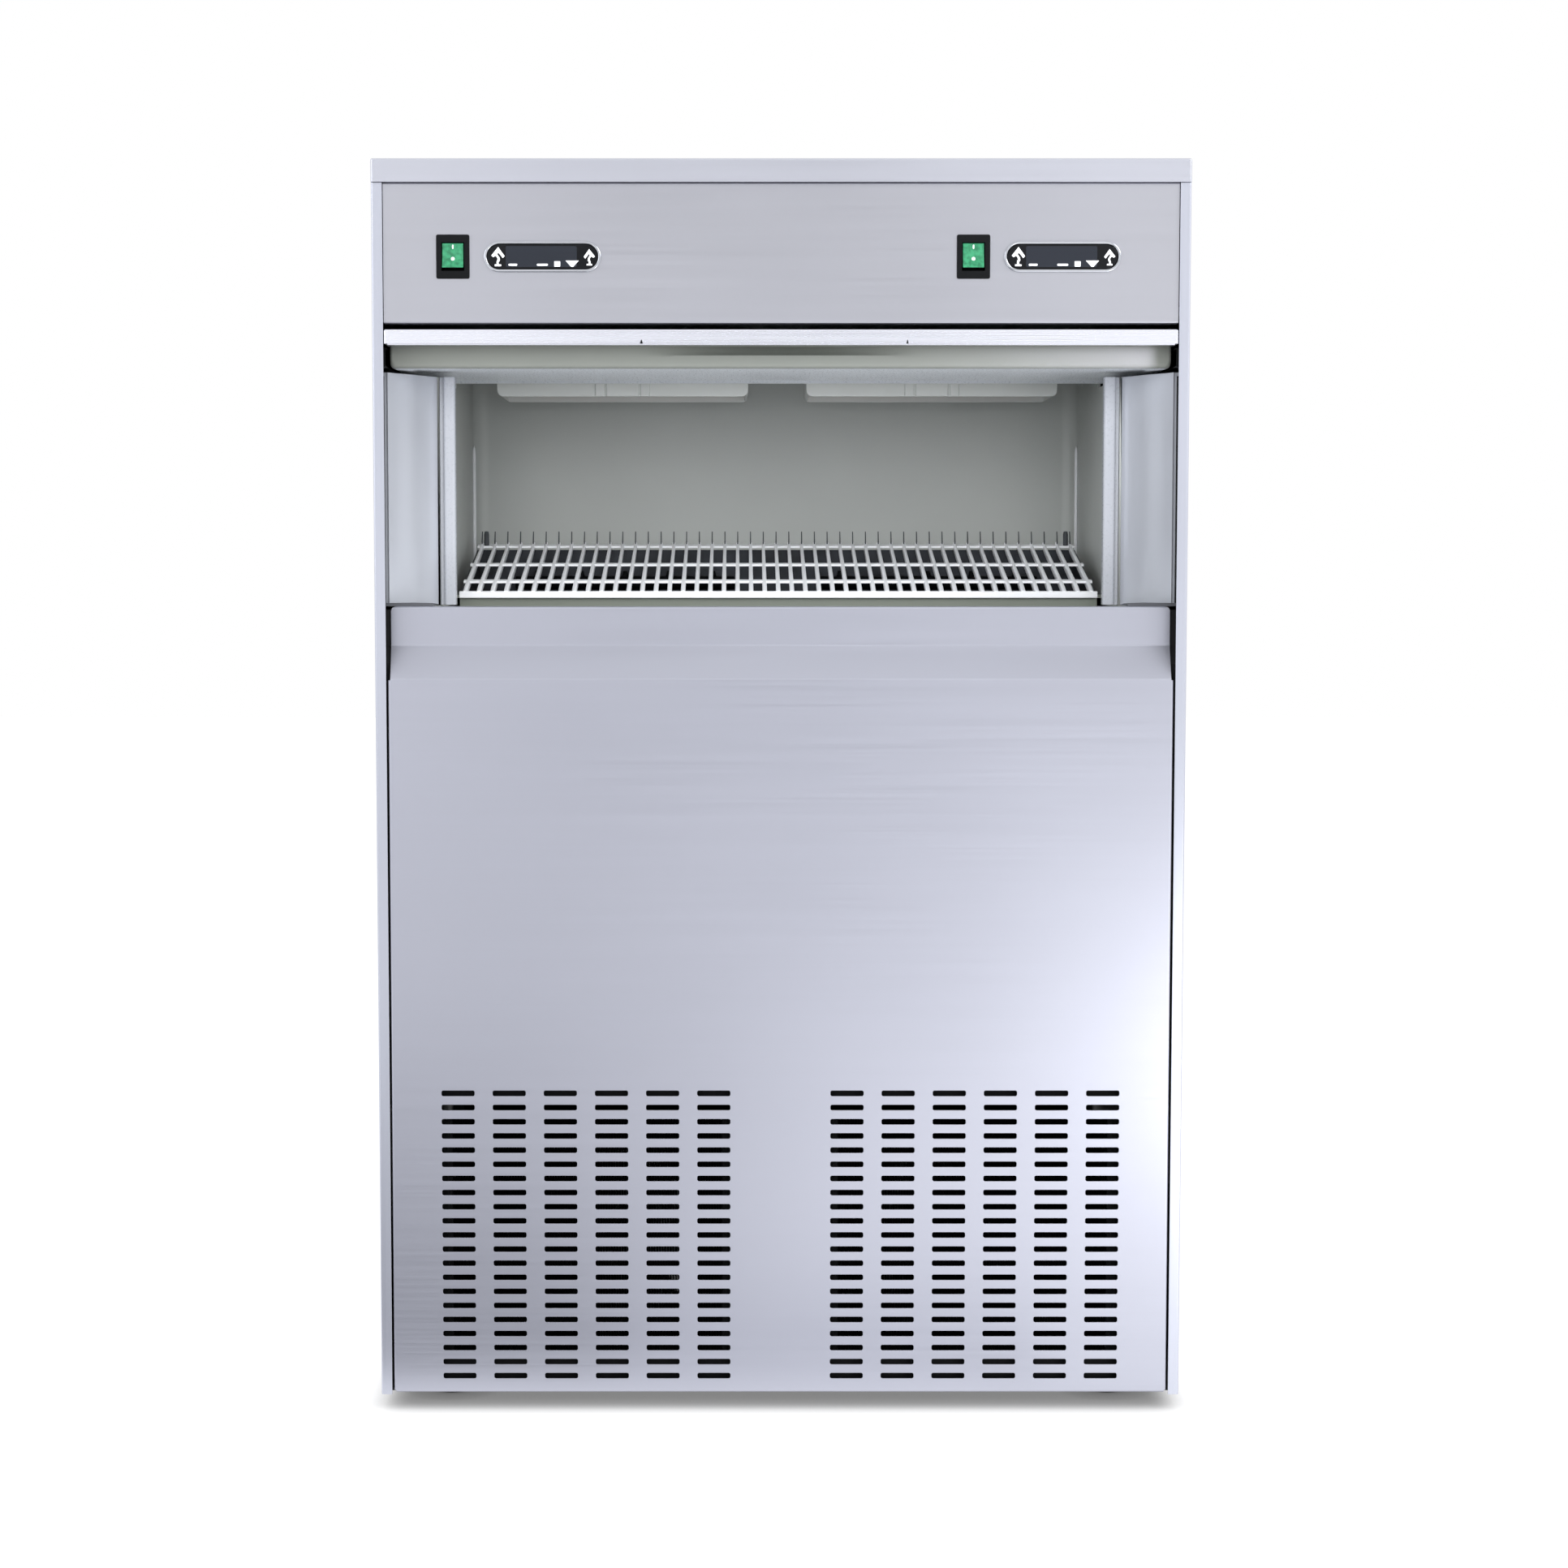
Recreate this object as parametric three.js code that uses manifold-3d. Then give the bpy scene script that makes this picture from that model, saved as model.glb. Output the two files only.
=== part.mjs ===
// Under-counter spray ice maker with two ice-making modules, its up-and-over door stowed open.
// Millimetres, +Z up. Inside the cabinet group x = 0 is the centre plane, y = 0 is the front face
// of the lid, y grows towards the back, and z = 0 is the floor. A point on the left has a negative x.
import * as THREE from "three";
import { mergeGeometries, mergeVertices } from "three/addons/utils/BufferGeometryUtils.js";
import Module from "manifold-3d";

// Overall sizes
const WIDTH = 738;
const DEPTH = 690;
const HEIGHT = 1145;
const FOOT_HEIGHT = 15;
const SHEET = 1.2; // every folded steel sheet
const SEAT = 0.3; // between two pieces that touch
const OVERRUN = 2; // how far a cutter runs past the face it leaves
const GRID = 1 / 1024; // corners are rounded to multiples of this
const FLATNESS = 1 / 256; // a corner this close to its neighbours' plane is dropped
const WELD = 1 / 8192; // corners closer than this are one

// Outer casing
const LID_FLANGE = 21;
const LID_RETURN = 12;
const SIDE_SETBACK = 2; // side panels behind the lid's front
const SIDE_FRONT_RETURN = 10;
const SIDE_REAR_RETURN = 15;
const PANEL_SIDE_GAP = 1.7; // front panels to the side panels' front returns
const CONTROL_SETBACK = 4;
const CONTROL_HEIGHT = 125.4;
const CONTROL_RETURN = 18;
const FRONT_SETBACK = 2;
const FRONT_BOTTOM_RISE = 2; // front panel's lower edge above the cabinet's
const FRONT_RETURN = 12;
const OPENING_HEIGHT = 217; // from the sill to the underside of the stowed door
const SLOPE_RISE = 30.3; // where the front panel folds back into the finger recess
const RECESS = 23;
const SILL_HEIGHT = 35.5;
const SILL_TOP_RETURN = 12;
const SILL_SIDE_STEP = 2.8;
const SILL_END_RADIUS = 8;
const TRAY_FLANGE = 30;

// Vent slots in the front panel
const VENT_GROUPS = 2;
const VENT_COLUMNS = 6;
const VENT_ROWS = 21;
const SLOT_WIDTH = 30.5;
const SLOT_HEIGHT = 5.2;
const SLOT_ROW_PITCH = 13.2;
const VENT_CENTRE_OFFSET = 46; // the group's inner edge from the centre plane
const VENT_SIDE_BORDER = 45.8; // the group's outer edge from the panel's side
const VENT_FIRST_ROW = 15.6; // lowest slot's centre above the panel's lower edge

// Insulated bin and ice chamber
const DECK_HEIGHT = 284; // machine deck above the cabinet's lower edge
const DECK_FLANGE = 15;
const BIN_FLOOR_FOAM = 27;
const LINER_WALL = 3;
const SIDE_WALL_DEPTH = 47.5; // foam and liner between the casing and the bin
const LINER_FRONT = 41;
const LINER_BACK = 475;
const CHAMBER_FRONT = 112; // where the chamber's side walls start
const LEDGE_DROP = 36.3; // chamber ledge below the stowed door's outer face
const FOAM_FRONT = 14.5;
const FOAM_BACK_WALL = 27;
const CEILING_RISE = 12.3; // ceiling above the stowed door's outer face
const CEILING_FLANGE = 12;
const BIN_DRAIN_FROM_BACK = 45;

// Cheeks and edge trims beside the opening
const CHEEK_WALL = 2.5;
const CHEEK_FRONT = 38;
const CHEEK_SIDE_GAP = 6; // cheek's front fold to the casing
const CHEEK_BACK_SIDE_GAP = 1.6; // inner end of the cheek outside the liner's inner face
const TRIM_WIDTH = 11.2;
const TRIM_GROOVE = 3.7;
const TRIM_DEPTH = 12;
const TRIM_STEP = 6;
const TRIM_LEAD = 4; // the trim's bead stands in front of the chamber wall

// Door, stowed flat under the ceiling
const DOOR_LENGTH = 278;
const DOOR_SKIN_DEPTH = 13;
const DOOR_LINER_DEPTH = 20;
const DOOR_LINER_SETBACK = 33; // behind the handle edge
const DOOR_LINER_REAR = 8;
const DOOR_TOP_GAP = 5.3; // outer face below the control panel
const DOOR_LIP = 8;
const DOOR_LINER_CHAMFER = 6;
const PIN_FROM_REAR = 23.5;
const PIN_FROM_FACE = 24;
const PIN_RADIUS = 4;
const PIN_IN_DOOR = 20;
const GLIDE_RADIUS = 7;
const GLIDE_WIDTH = 6;
const DOOR_TRAVEL = 230.5;
const RAIL_WALL = 1.5;
const RAIL_LENGTH = DOOR_TRAVEL + 2 * (GLIDE_RADIUS + SEAT + RAIL_WALL);

// Switches and indicator windows
const SWITCH_WIDTH = 30;
const SWITCH_HEIGHT = 39.4;
const SWITCH_PROUD = 1.3;
const SWITCH_BODY_DEPTH = 22;
const SWITCH_BODY_INSET = 1.3;
const SWITCH_FLOOR = 3;
const SWITCH_CENTRE_DROP = 66.2; // below the lid
const SWITCH_FROM_SIDES = [61.6, 184.1]; // from the left side, and from the right side
const ROCKER_WIDTH = 19;
const ROCKER_HALF_HEIGHT = 11;
const ROCKER_GAP = 0.6;
const ROCKER_END_GAP = 1.4;
const ROCKER_PIVOT_DEPTH = 6; // behind the control panel's face
const ROCKER_REACH = 8;
const ROCKER_WAIST = 6.2;
const ROCKER_HEEL = 3;
const ROCKER_HEEL_HALF = 7;
const ROCKER_TILT = THREE.MathUtils.degToRad(7);
const DISPLAY_WIDTH = 105.4;
const DISPLAY_HEIGHT = 27.5;
const DISPLAY_RIM = 2.4;
const DISPLAY_PROUD = 1.6;
const STADIUM_FLAT = 0.01; // straight left between the two arcs of a round end
const DISPLAY_WINDOW_INSET = 0.6;
const DISPLAY_DEPTH = 9;
const DISPLAY_FROM_SIDES = [142.3, 103.8];

// Comb grid
const GRID_FRONT = 183;
const GRID_LENGTH = 202;
const GRID_SIDE_GAP = 11; // to the liner
const GRID_FRONT_TOP = 14.3; // above the sill
const GRID_RISE = 45;
const GRID_THICKNESS = 5;
const GRID_LIP = 8.5;
const GRID_LIP_DEPTH = 4;
const GRID_PITCH = 13.2;
const GRID_RIB = 4.4;
const GRID_ROW_SHARES = [0.02, 0.175, 0.215, 0.54, 0.58, 0.955]; // starts and ends of the three rows
const TOOTH_HEIGHT = 13;
const TOOTH_DEPTH = 7;
const TOOTH_LEAN = 5;

// Water tank, pumps and spray bars
const TANK_WALL = 3;
const TANK_BACK = 465;
const TANK_DEPTH = 92;
const TANK_FLANGE = 3;
const TANK_SHELF = 66; // covered rear part that carries the pumps
const TANK_FRONT_TAPER = 12;
const SPLASH_DROP = 6; // the splash wall's lower edge below the tank's rim
const SPLASH_HOLE_GAP = 1;
const SUPPORT_WIDTH = 8;
const SUPPORT_HEIGHT = 12;
const PUMP_RADIUS = 25;
const PUMP_FLANGE_RADIUS = 31;
const PUMP_FLANGE = 3;
const PUMP_MOTOR_HEIGHT = 40;
const PUMP_DROP = 62;
const PUMP_NECK_RADIUS = 12;
const PUMP_VOLUTE_HEIGHT = 16;
const PUMP_OUTLET_RADIUS = 7;
const PUMP_OUTLET_REACH = 6;
const SPRAY_RADIUS = 7;
const SPRAY_END_GAP = 13.5; // inside the module's width
const SPRAY_NOZZLES = 5;
const NOZZLE_RADIUS = 4;
const NOZZLE_HEIGHT = 12;

// Evaporator modules
const EVAPORATOR_INNER_EDGE = 29; // from the centre plane
const EVAPORATOR_SIDE_GAP = 40; // to the liner
const EVAPORATOR_FRONT = 290;
const EVAPORATOR_DEPTH = 110;
const EVAPORATOR_DROP = 56.7; // below the ceiling
const EVAPORATOR_WALL = 3;
const EVAPORATOR_CORNER = 6;
const CLIP_WIDTH = 54;
const CLIP_PROUD = 2;
const CLIP_GROOVE = 2;
const CLIP_EAR = 10;
const CUP_COLUMNS = 4;
const CUP_ROWS = 2;
const CUP_RADIUS = 19;
const CUP_WALL = 1.5;
const CUP_HEIGHT = 30;
const CUP_PLATE = 4;
const CUP_LIFT = 8; // cups' mouths above the housing's lower edge

// Machine compartment
const CONDENSER_WIDTH = 262;
const CONDENSER_HEIGHT = 250;
const CONDENSER_DEPTH = 44;
const CONDENSER_FRONT = 30;
const CONDENSER_CENTRE_SHARE = 0.48707; // of the casing's inner half width
const CONDENSER_END_PLATE = 2;
const CONDENSER_FLANGE = 6;
const CONDENSER_BENDS = 3;
const BEND_RADIUS = 14;
const BEND_TUBE = 4.5;
const SHROUD_PLATE = 2;
const SHROUD_RING = 2.5;
const SHROUD_DEPTH = 32;
const FAN_RADIUS = 98;
const FAN_TIP_GAP = 5;
const FAN_DEPTH = 18;
const FAN_HUB_RADIUS = 22;
const FAN_BLADES = 5;
const FAN_BLADE_CHORD = 62;
const FAN_BLADE_THICKNESS = 1.8;
const FAN_BLADE_SHARES = [[0, -0.25], [0.9, -0.5], [1, 0], [0.92, 0.5], [0, 0.25]]; // length, chord
const FAN_BLADE_PITCH = THREE.MathUtils.degToRad(24);
const FAN_START = 12; // behind the shroud's plate
const SHAFT_RADIUS = 4;
const MOTOR_RADIUS = 36;
const MOTOR_LENGTH = 48;
const MOTOR_GAP = 8;
const MOTOR_STRAP = 3;
const MOTOR_STRAP_HEIGHT = 10;
const MOTOR_STRAP_OFFSET = 22;
const MOTOR_LEG = 8;
const MOTOR_STRAP_INSET = 9; // inside the condenser's width
const COMPRESSOR_RADIUS = 72;
const COMPRESSOR_HEIGHT = 165;
const COMPRESSOR_SHARES = [ // radius and height of the can's outline, with its welded seam half way up
  [0, 0], [0.8, 0], [1, 0.12], [1, 0.45], [1.05, 0.46], [1, 0.47], [1, 0.78], [0.75, 0.96], [0, 1],
];
const COMPRESSOR_BASE = 4;
const COMPRESSOR_BASE_SIZE = 190;
const COMPRESSOR_LIFT = 14;
const COMPRESSOR_CENTRE_SHARE = 0.47619;
const COMPRESSOR_CENTRE_Y = 380;
const GROMMET_RADIUS = 11;
const GROMMET_INSET = 18;

// Rear
const REAR_GAP = 0.5;
const REAR_LAP = 3;
const SERVICE_RECESS = 24.8;
const SERVICE_SLOT_ROWS = 5;
const SERVICE_SLOT_COLUMNS = 2;
const SERVICE_SLOT_WIDTH = 200;
const SERVICE_SLOT_HEIGHT = 8;
const SERVICE_SLOT_ROW_PITCH = 22;
const SERVICE_SLOT_COLUMN_PITCH = 240;
const SERVICE_SLOT_START = 95;
const INLET_FROM_SIDE = 82.5;
const INLET_RISE = 225;
const INLET_RADIUS = 13;
const INLET_REACH = 18;
const INLET_NUT = 17;
const INLET_NUT_DEPTH = 5;
const COIL_WIDTH = 30;
const COIL_DEPTH = 34;
const COIL_HEIGHT = 42;
const DRAIN_RISE = 46;
const DRAIN_RADIUS = 12;
const DRAIN_BORE = 9;
const DRAIN_REACH = 18;
const DRAIN_BEND = 30;
const DRAIN_SOCKET = 15;
const GLAND_FROM_SIDE = 67.5;
const GLAND_RISE = 60;
const GLAND_RADIUS = 9;
const GLAND_NUT = 13;
const GLAND_NUT_DEPTH = 6;
const GLAND_REACH = 16;
const GLAND_BORE = 4.5;
const BOX_WIDTH = 280;
const BOX_DEPTH = 180;
const BOX_HEIGHT = 84;
const BOX_START = 110;
const BOX_WALL = 1.5;
const BOX_LID_LIP = 10;
const FOOT_RADIUS = 21;
const FOOT_WAIST = 18;
const FOOT_CHAMFER = 2;
const FOOT_INSET_X = 59;
const FOOT_INSET_Y = 80;

// Numbers of sides on round pieces
const FINE_SIDES = 16;
const ROUND_SIDES = 12;
const SMALL_SIDES = 8;
const HEX_SIDES = 6;
const CORNER_STEPS = 2;

// Planes and half widths that several pieces share
const halfWidth = WIDTH / 2;
const bodyBottom = FOOT_HEIGHT;
const lidBottom = HEIGHT - LID_FLANGE;
const sideInner = halfWidth - SHEET;
const insideHalf = sideInner - SEAT;
const panelHalf = halfWidth - SIDE_FRONT_RETURN - PANEL_SIDE_GAP;
const linerHalf = insideHalf - SIDE_WALL_DEPTH;
const cheekFrontHalf = insideHalf - CHEEK_SIDE_GAP;
const cheekBackHalf = linerHalf + CHEEK_BACK_SIDE_GAP;
const gridHalf = linerHalf - GRID_SIDE_GAP;
const moduleWidth = linerHalf - EVAPORATOR_SIDE_GAP - EVAPORATOR_INNER_EDGE;
const condenserCentre = CONDENSER_CENTRE_SHARE * insideHalf;
const inletX = INLET_FROM_SIDE - insideHalf;
const glandX = insideHalf - GLAND_FROM_SIDE;
const controlTop = lidBottom - SEAT;
const controlBottom = controlTop - CONTROL_HEIGHT;
const frontBottom = bodyBottom + FRONT_BOTTOM_RISE;
const doorFace = controlBottom - DOOR_TOP_GAP;
const sillTop = doorFace - DOOR_SKIN_DEPTH - DOOR_LINER_DEPTH - OPENING_HEIGHT;
const slopeTop = sillTop - SILL_HEIGHT;
const slopeBottom = slopeTop - SLOPE_RISE;
const sillFace = FRONT_SETBACK + RECESS;
const sillHalf = panelHalf - SILL_SIDE_STEP;
const sillBack = sillFace + SILL_TOP_RETURN;
const deckTop = bodyBottom + DECK_HEIGHT;
const binFloor = deckTop + SEAT + BIN_FLOOR_FOAM + LINER_WALL;
const doorRear = FRONT_SETBACK + DOOR_LENGTH;
const pinY = doorRear - PIN_FROM_REAR;
const pinZ = doorFace - PIN_FROM_FACE;
const ledgeTop = doorFace - LEDGE_DROP;
const ceilingBottom = doorFace + CEILING_RISE;
const switchZ = lidBottom - SWITCH_CENTRE_DROP;
const trayTop = bodyBottom + SHEET + SEAT;
const serviceFace = DEPTH - SERVICE_RECESS;
const trayBack = serviceFace - SHEET - SEAT;
const rearTop = lidBottom - SEAT;

const wasm = await Module();
wasm.setup();

// Corners are rounded to one fine grid, so faces that should lie in one plane do.
const toGrid = (value) => Math.round(value / GRID) * GRID;

function solidOf(geometry) {
  const bare = geometry.clone();
  bare.deleteAttribute("normal");
  bare.deleteAttribute("uv");
  const merged = mergeVertices(bare, WELD);
  return new wasm.Manifold(
    new wasm.Mesh({
      numProp: 3,
      vertProperties: merged.attributes.position.array.map(toGrid),
      triVerts: new Uint32Array(merged.index.array),
    }),
  );
}

// Faces that lie in one plane are merged first, so no slivers are left between joined pieces.
function geometryOf(solid) {
  const mesh = solid.asOriginal().simplify(FLATNESS).getMesh();
  const positions = new Float32Array(mesh.numVert * 3);
  for (let i = 0; i < mesh.numVert; i += 1) {
    const start = i * mesh.numProp;
    positions.set(mesh.vertProperties.subarray(start, start + 3), i * 3);
  }
  const geometry = new THREE.BufferGeometry();
  geometry.setAttribute("position", new THREE.BufferAttribute(positions, 3));
  geometry.setIndex(new THREE.BufferAttribute(new Uint32Array(mesh.triVerts), 1));
  geometry.computeVertexNormals();
  return geometry;
}

const joined = (solids) => solids.reduce((sum, solid) => sum.add(solid));
const cut = (solid, cutters) => cutters.reduce((rest, cutter) => rest.subtract(cutter), solid);

// A box between two corners, as a geometry.
function boxGeometry(x0, x1, y0, y1, z0, z1) {
  const geometry = new THREE.BoxGeometry(Math.abs(x1 - x0), Math.abs(y1 - y0), Math.abs(z1 - z0));
  return geometry.translate((x0 + x1) / 2, (y0 + y1) / 2, (z0 + z1) / 2);
}
const box = (...corners) => solidOf(boxGeometry(...corners));

// Many boxes that don't touch, as one solid.
function boxes(list) {
  return solidOf(mergeGeometries(list.map((corners) => boxGeometry(...corners))));
}

const shapeOf = (points) => new THREE.Shape(points.map(([a, b]) => new THREE.Vector2(a, b)));

// An outline in (y, z), extruded along x.
function alongX(shape, x0, x1, curveSegments = CORNER_STEPS) {
  const geometry = new THREE.ExtrudeGeometry(shape, { depth: x1 - x0, bevelEnabled: false, curveSegments });
  const turn = new THREE.Matrix4().makeBasis(
    new THREE.Vector3(0, 1, 0), new THREE.Vector3(0, 0, 1), new THREE.Vector3(1, 0, 0),
  );
  return solidOf(geometry.applyMatrix4(turn).translate(x0, 0, 0));
}

// An outline in (x, z), extruded along y.
function alongY(shape, y0, y1, curveSegments = CORNER_STEPS) {
  const geometry = new THREE.ExtrudeGeometry(shape, { depth: y1 - y0, bevelEnabled: false, curveSegments });
  return solidOf(geometry.rotateX(Math.PI / 2).translate(0, y1, 0));
}

// An outline in (x, y), extruded upwards.
function alongZ(shape, z0, z1, curveSegments = CORNER_STEPS) {
  const geometry = new THREE.ExtrudeGeometry(shape, { depth: z1 - z0, bevelEnabled: false, curveSegments });
  return solidOf(geometry.translate(0, 0, z0));
}

// Cylinders between two ends along one axis.
function rodZ(radius, x, y, z0, z1, sides = ROUND_SIDES) {
  const geometry = new THREE.CylinderGeometry(radius, radius, z1 - z0, sides);
  return solidOf(geometry.rotateX(Math.PI / 2).translate(x, y, (z0 + z1) / 2));
}
function rodY(radius, x, y0, y1, z, sides = ROUND_SIDES) {
  const geometry = new THREE.CylinderGeometry(radius, radius, y1 - y0, sides);
  return solidOf(geometry.translate(x, (y0 + y1) / 2, z));
}
function rodX(radius, x0, x1, y, z, sides = ROUND_SIDES) {
  const geometry = new THREE.CylinderGeometry(radius, radius, Math.abs(x1 - x0), sides);
  return solidOf(geometry.rotateZ(Math.PI / 2).translate((x0 + x1) / 2, y, z));
}

// The outline of a folded sheet: the path is its outer face, and the sheet lies on the path's left
// when thickness is positive, with mitred folds.
function sheetShape(path, thickness) {
  const points = path.map(([a, b]) => new THREE.Vector2(a, b));
  const normals = points.slice(1).map((point, i) => {
    const along = point.clone().sub(points[i]).normalize();
    return new THREE.Vector2(-along.y, along.x);
  });
  const inner = points.map((point, i) => {
    const before = normals[Math.max(i - 1, 0)];
    const after = normals[Math.min(i, normals.length - 1)];
    const mitre = before.clone().add(after).divideScalar(1 + before.dot(after));
    return point.clone().add(mitre.multiplyScalar(thickness));
  });
  return new THREE.Shape([...points, ...inner.reverse()]);
}

// A rectangle with rounded corners, centred on (u, v).
function roundedRectangle(u, v, width, height, radius) {
  const [left, right, bottom, top] = [u - width / 2, u + width / 2, v - height / 2, v + height / 2];
  const quarter = Math.PI / 2;
  const shape = new THREE.Shape();
  shape.absarc(right - radius, bottom + radius, radius, -quarter, 0);
  shape.absarc(right - radius, top - radius, radius, 0, quarter);
  shape.absarc(left + radius, top - radius, radius, quarter, 2 * quarter);
  shape.absarc(left + radius, bottom + radius, radius, 2 * quarter, 3 * quarter);
  return shape;
}

// A slot with round ends, centred on (u, v).
function stadium(u, v, width, height) {
  return roundedRectangle(u, v, width, height, (height - STADIUM_FLAT) / 2);
}

const finishes = {
  steel: { color: 0xb9bac2, roughness: 0.36, metalness: 0.9 },
  galvanised: { color: 0x9fa4a8, roughness: 0.55, metalness: 0.8 },
  liner: { color: 0xa3a7a2, roughness: 0.6, metalness: 0 },
  cheek: { color: 0xc3c6cf, roughness: 0.3, metalness: 0.2 },
  trim: { color: 0xd6dae0, roughness: 0.35, metalness: 0.1 },
  foam: { color: 0xd9c98f, roughness: 0.95, metalness: 0 },
  beige: { color: 0x9fa19a, roughness: 0.6, metalness: 0 },
  white: { color: 0xeceded, roughness: 0.5, metalness: 0 },
  tank: { color: 0x868b81, roughness: 0.6, metalness: 0 },
  black: { color: 0x1f2023, roughness: 0.55, metalness: 0 },
  rubber: { color: 0x17181a, roughness: 0.9, metalness: 0 },
  green: { color: 0x2da073, roughness: 0.35, metalness: 0 },
  window: { color: 0x25272c, roughness: 0.2, metalness: 0 },
  chrome: { color: 0xd4d6da, roughness: 0.2, metalness: 1 },
  copper: { color: 0xb97a50, roughness: 0.35, metalness: 1 },
  aluminium: { color: 0xaeb3b8, roughness: 0.5, metalness: 0.9 },
  brass: { color: 0xb89b55, roughness: 0.35, metalness: 1 },
};

const cabinet = new THREE.Group();
cabinet.position.y = -DEPTH / 2;

function add(name, solid, finish, parent = cabinet) {
  const material = new THREE.MeshStandardMaterial(finishes[finish]);
  const mesh = new THREE.Mesh(geometryOf(solid), material);
  mesh.name = name;
  parent.add(mesh);
  return mesh;
}

const sides = [["left", -1], ["right", 1]];

// Outer casing

function lidPanel() {
  const profile = sheetShape([
    [LID_RETURN, lidBottom], [0, lidBottom], [0, HEIGHT],
    [DEPTH, HEIGHT], [DEPTH, lidBottom], [DEPTH - LID_RETURN, lidBottom],
  ], -SHEET);
  const flanges = sides.map(([, side]) =>
    box(side * halfWidth, side * sideInner, 0, DEPTH, lidBottom, HEIGHT));
  return joined([alongX(profile, -halfWidth, halfWidth), ...flanges]);
}

function sidePanel(side) {
  const back = DEPTH - REAR_GAP - SHEET - SEAT;
  const profile = sheetShape([
    [side * (halfWidth - SIDE_FRONT_RETURN), SIDE_SETBACK], [side * halfWidth, SIDE_SETBACK],
    [side * halfWidth, back], [side * (halfWidth - SIDE_REAR_RETURN), back],
  ], side * SHEET);
  return alongZ(profile, bodyBottom, lidBottom - SEAT);
}

function rearPanel() {
  const back = DEPTH - REAR_GAP;
  return box(-halfWidth + REAR_LAP, halfWidth - REAR_LAP, back - SHEET, back, deckTop, rearTop);
}

function servicePanel() {
  const half = halfWidth - SIDE_REAR_RETURN - SEAT;
  const back = DEPTH - REAR_GAP - SHEET - SEAT;
  const top = deckTop - SEAT;
  const profile = sheetShape(
    [[serviceFace, bodyBottom], [serviceFace, top], [back, top]], SHEET);
  const sheet = alongX(profile, -half, half);
  const slots = [];
  for (let row = 0; row < SERVICE_SLOT_ROWS; row += 1) {
    const z = bodyBottom + SERVICE_SLOT_START + row * SERVICE_SLOT_ROW_PITCH;
    for (let column = 0; column < SERVICE_SLOT_COLUMNS; column += 1) {
      const x = (column - (SERVICE_SLOT_COLUMNS - 1) / 2) * SERVICE_SLOT_COLUMN_PITCH;
      slots.push([
        x - SERVICE_SLOT_WIDTH / 2, x + SERVICE_SLOT_WIDTH / 2, serviceFace - SHEET - OVERRUN,
        serviceFace + OVERRUN, z - SERVICE_SLOT_HEIGHT / 2, z + SERVICE_SLOT_HEIGHT / 2,
      ]);
    }
  }
  const through = (radius, x, rise) => rodY(
    radius + SEAT, x, serviceFace - SHEET - OVERRUN, serviceFace + OVERRUN, bodyBottom + rise, SMALL_SIDES);
  return cut(sheet, [
    boxes(slots),
    through(INLET_RADIUS, inletX, INLET_RISE),
    through(DRAIN_RADIUS, 0, DRAIN_RISE),
    through(GLAND_RADIUS, glandX, GLAND_RISE),
  ]);
}

function controlPanel() {
  const back = CONTROL_SETBACK + CONTROL_RETURN;
  const profile = sheetShape([
    [back, controlBottom], [CONTROL_SETBACK, controlBottom],
    [CONTROL_SETBACK, controlTop], [back, controlTop],
  ], -SHEET);
  const from = CONTROL_SETBACK - OVERRUN;
  const to = CONTROL_SETBACK + SHEET + OVERRUN;
  const switchHoles = switchCentres.map((x) => {
    const halfHole = SWITCH_WIDTH / 2 - SWITCH_BODY_INSET + SEAT;
    const halfHeight = SWITCH_HEIGHT / 2 - SWITCH_BODY_INSET + SEAT;
    return box(x - halfHole, x + halfHole, from, to, switchZ - halfHeight, switchZ + halfHeight);
  });
  const displayHoles = displayCentres.map((x) => {
    const inset = DISPLAY_RIM - SEAT;
    const hole = stadium(x, switchZ, DISPLAY_WIDTH - 2 * inset, DISPLAY_HEIGHT - 2 * inset);
    return alongY(hole, from, to, CORNER_STEPS);
  });
  return cut(alongX(profile, -panelHalf, panelHalf), [...switchHoles, ...displayHoles]);
}

function ventSlots() {
  const outer = panelHalf - VENT_SIDE_BORDER;
  const pitch = (outer - VENT_CENTRE_OFFSET - SLOT_WIDTH) / (VENT_COLUMNS - 1);
  const slots = [];
  for (let group = 0; group < VENT_GROUPS; group += 1) {
    const side = group === 0 ? -1 : 1;
    for (let column = 0; column < VENT_COLUMNS; column += 1) {
      const x0 = side * (VENT_CENTRE_OFFSET + column * pitch);
      for (let row = 0; row < VENT_ROWS; row += 1) {
        const z = frontBottom + VENT_FIRST_ROW + row * SLOT_ROW_PITCH;
        slots.push([
          x0, x0 + side * SLOT_WIDTH, FRONT_SETBACK - OVERRUN, FRONT_SETBACK + SHEET + OVERRUN,
          z - SLOT_HEIGHT / 2, z + SLOT_HEIGHT / 2,
        ]);
      }
    }
  }
  return boxes(slots);
}

// The strip beyond the sill's narrower end, with the rounded upper corner it leaves.
function sillEndCutter(side) {
  const outer = panelHalf + OVERRUN;
  const shape = new THREE.Shape();
  shape.moveTo(side * panelHalf, slopeBottom);
  shape.lineTo(side * sillHalf, slopeTop);
  shape.lineTo(side * sillHalf, sillTop - SILL_END_RADIUS);
  shape.absarc(
    side * (sillHalf - SILL_END_RADIUS), sillTop - SILL_END_RADIUS, SILL_END_RADIUS,
    side > 0 ? 0 : Math.PI, Math.PI / 2, side < 0,
  );
  shape.lineTo(side * (sillHalf - SILL_END_RADIUS), sillTop + OVERRUN);
  shape.lineTo(side * outer, sillTop + OVERRUN);
  shape.lineTo(side * outer, slopeBottom);
  return alongY(shape, FRONT_SETBACK - OVERRUN, sillBack + OVERRUN);
}

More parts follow.
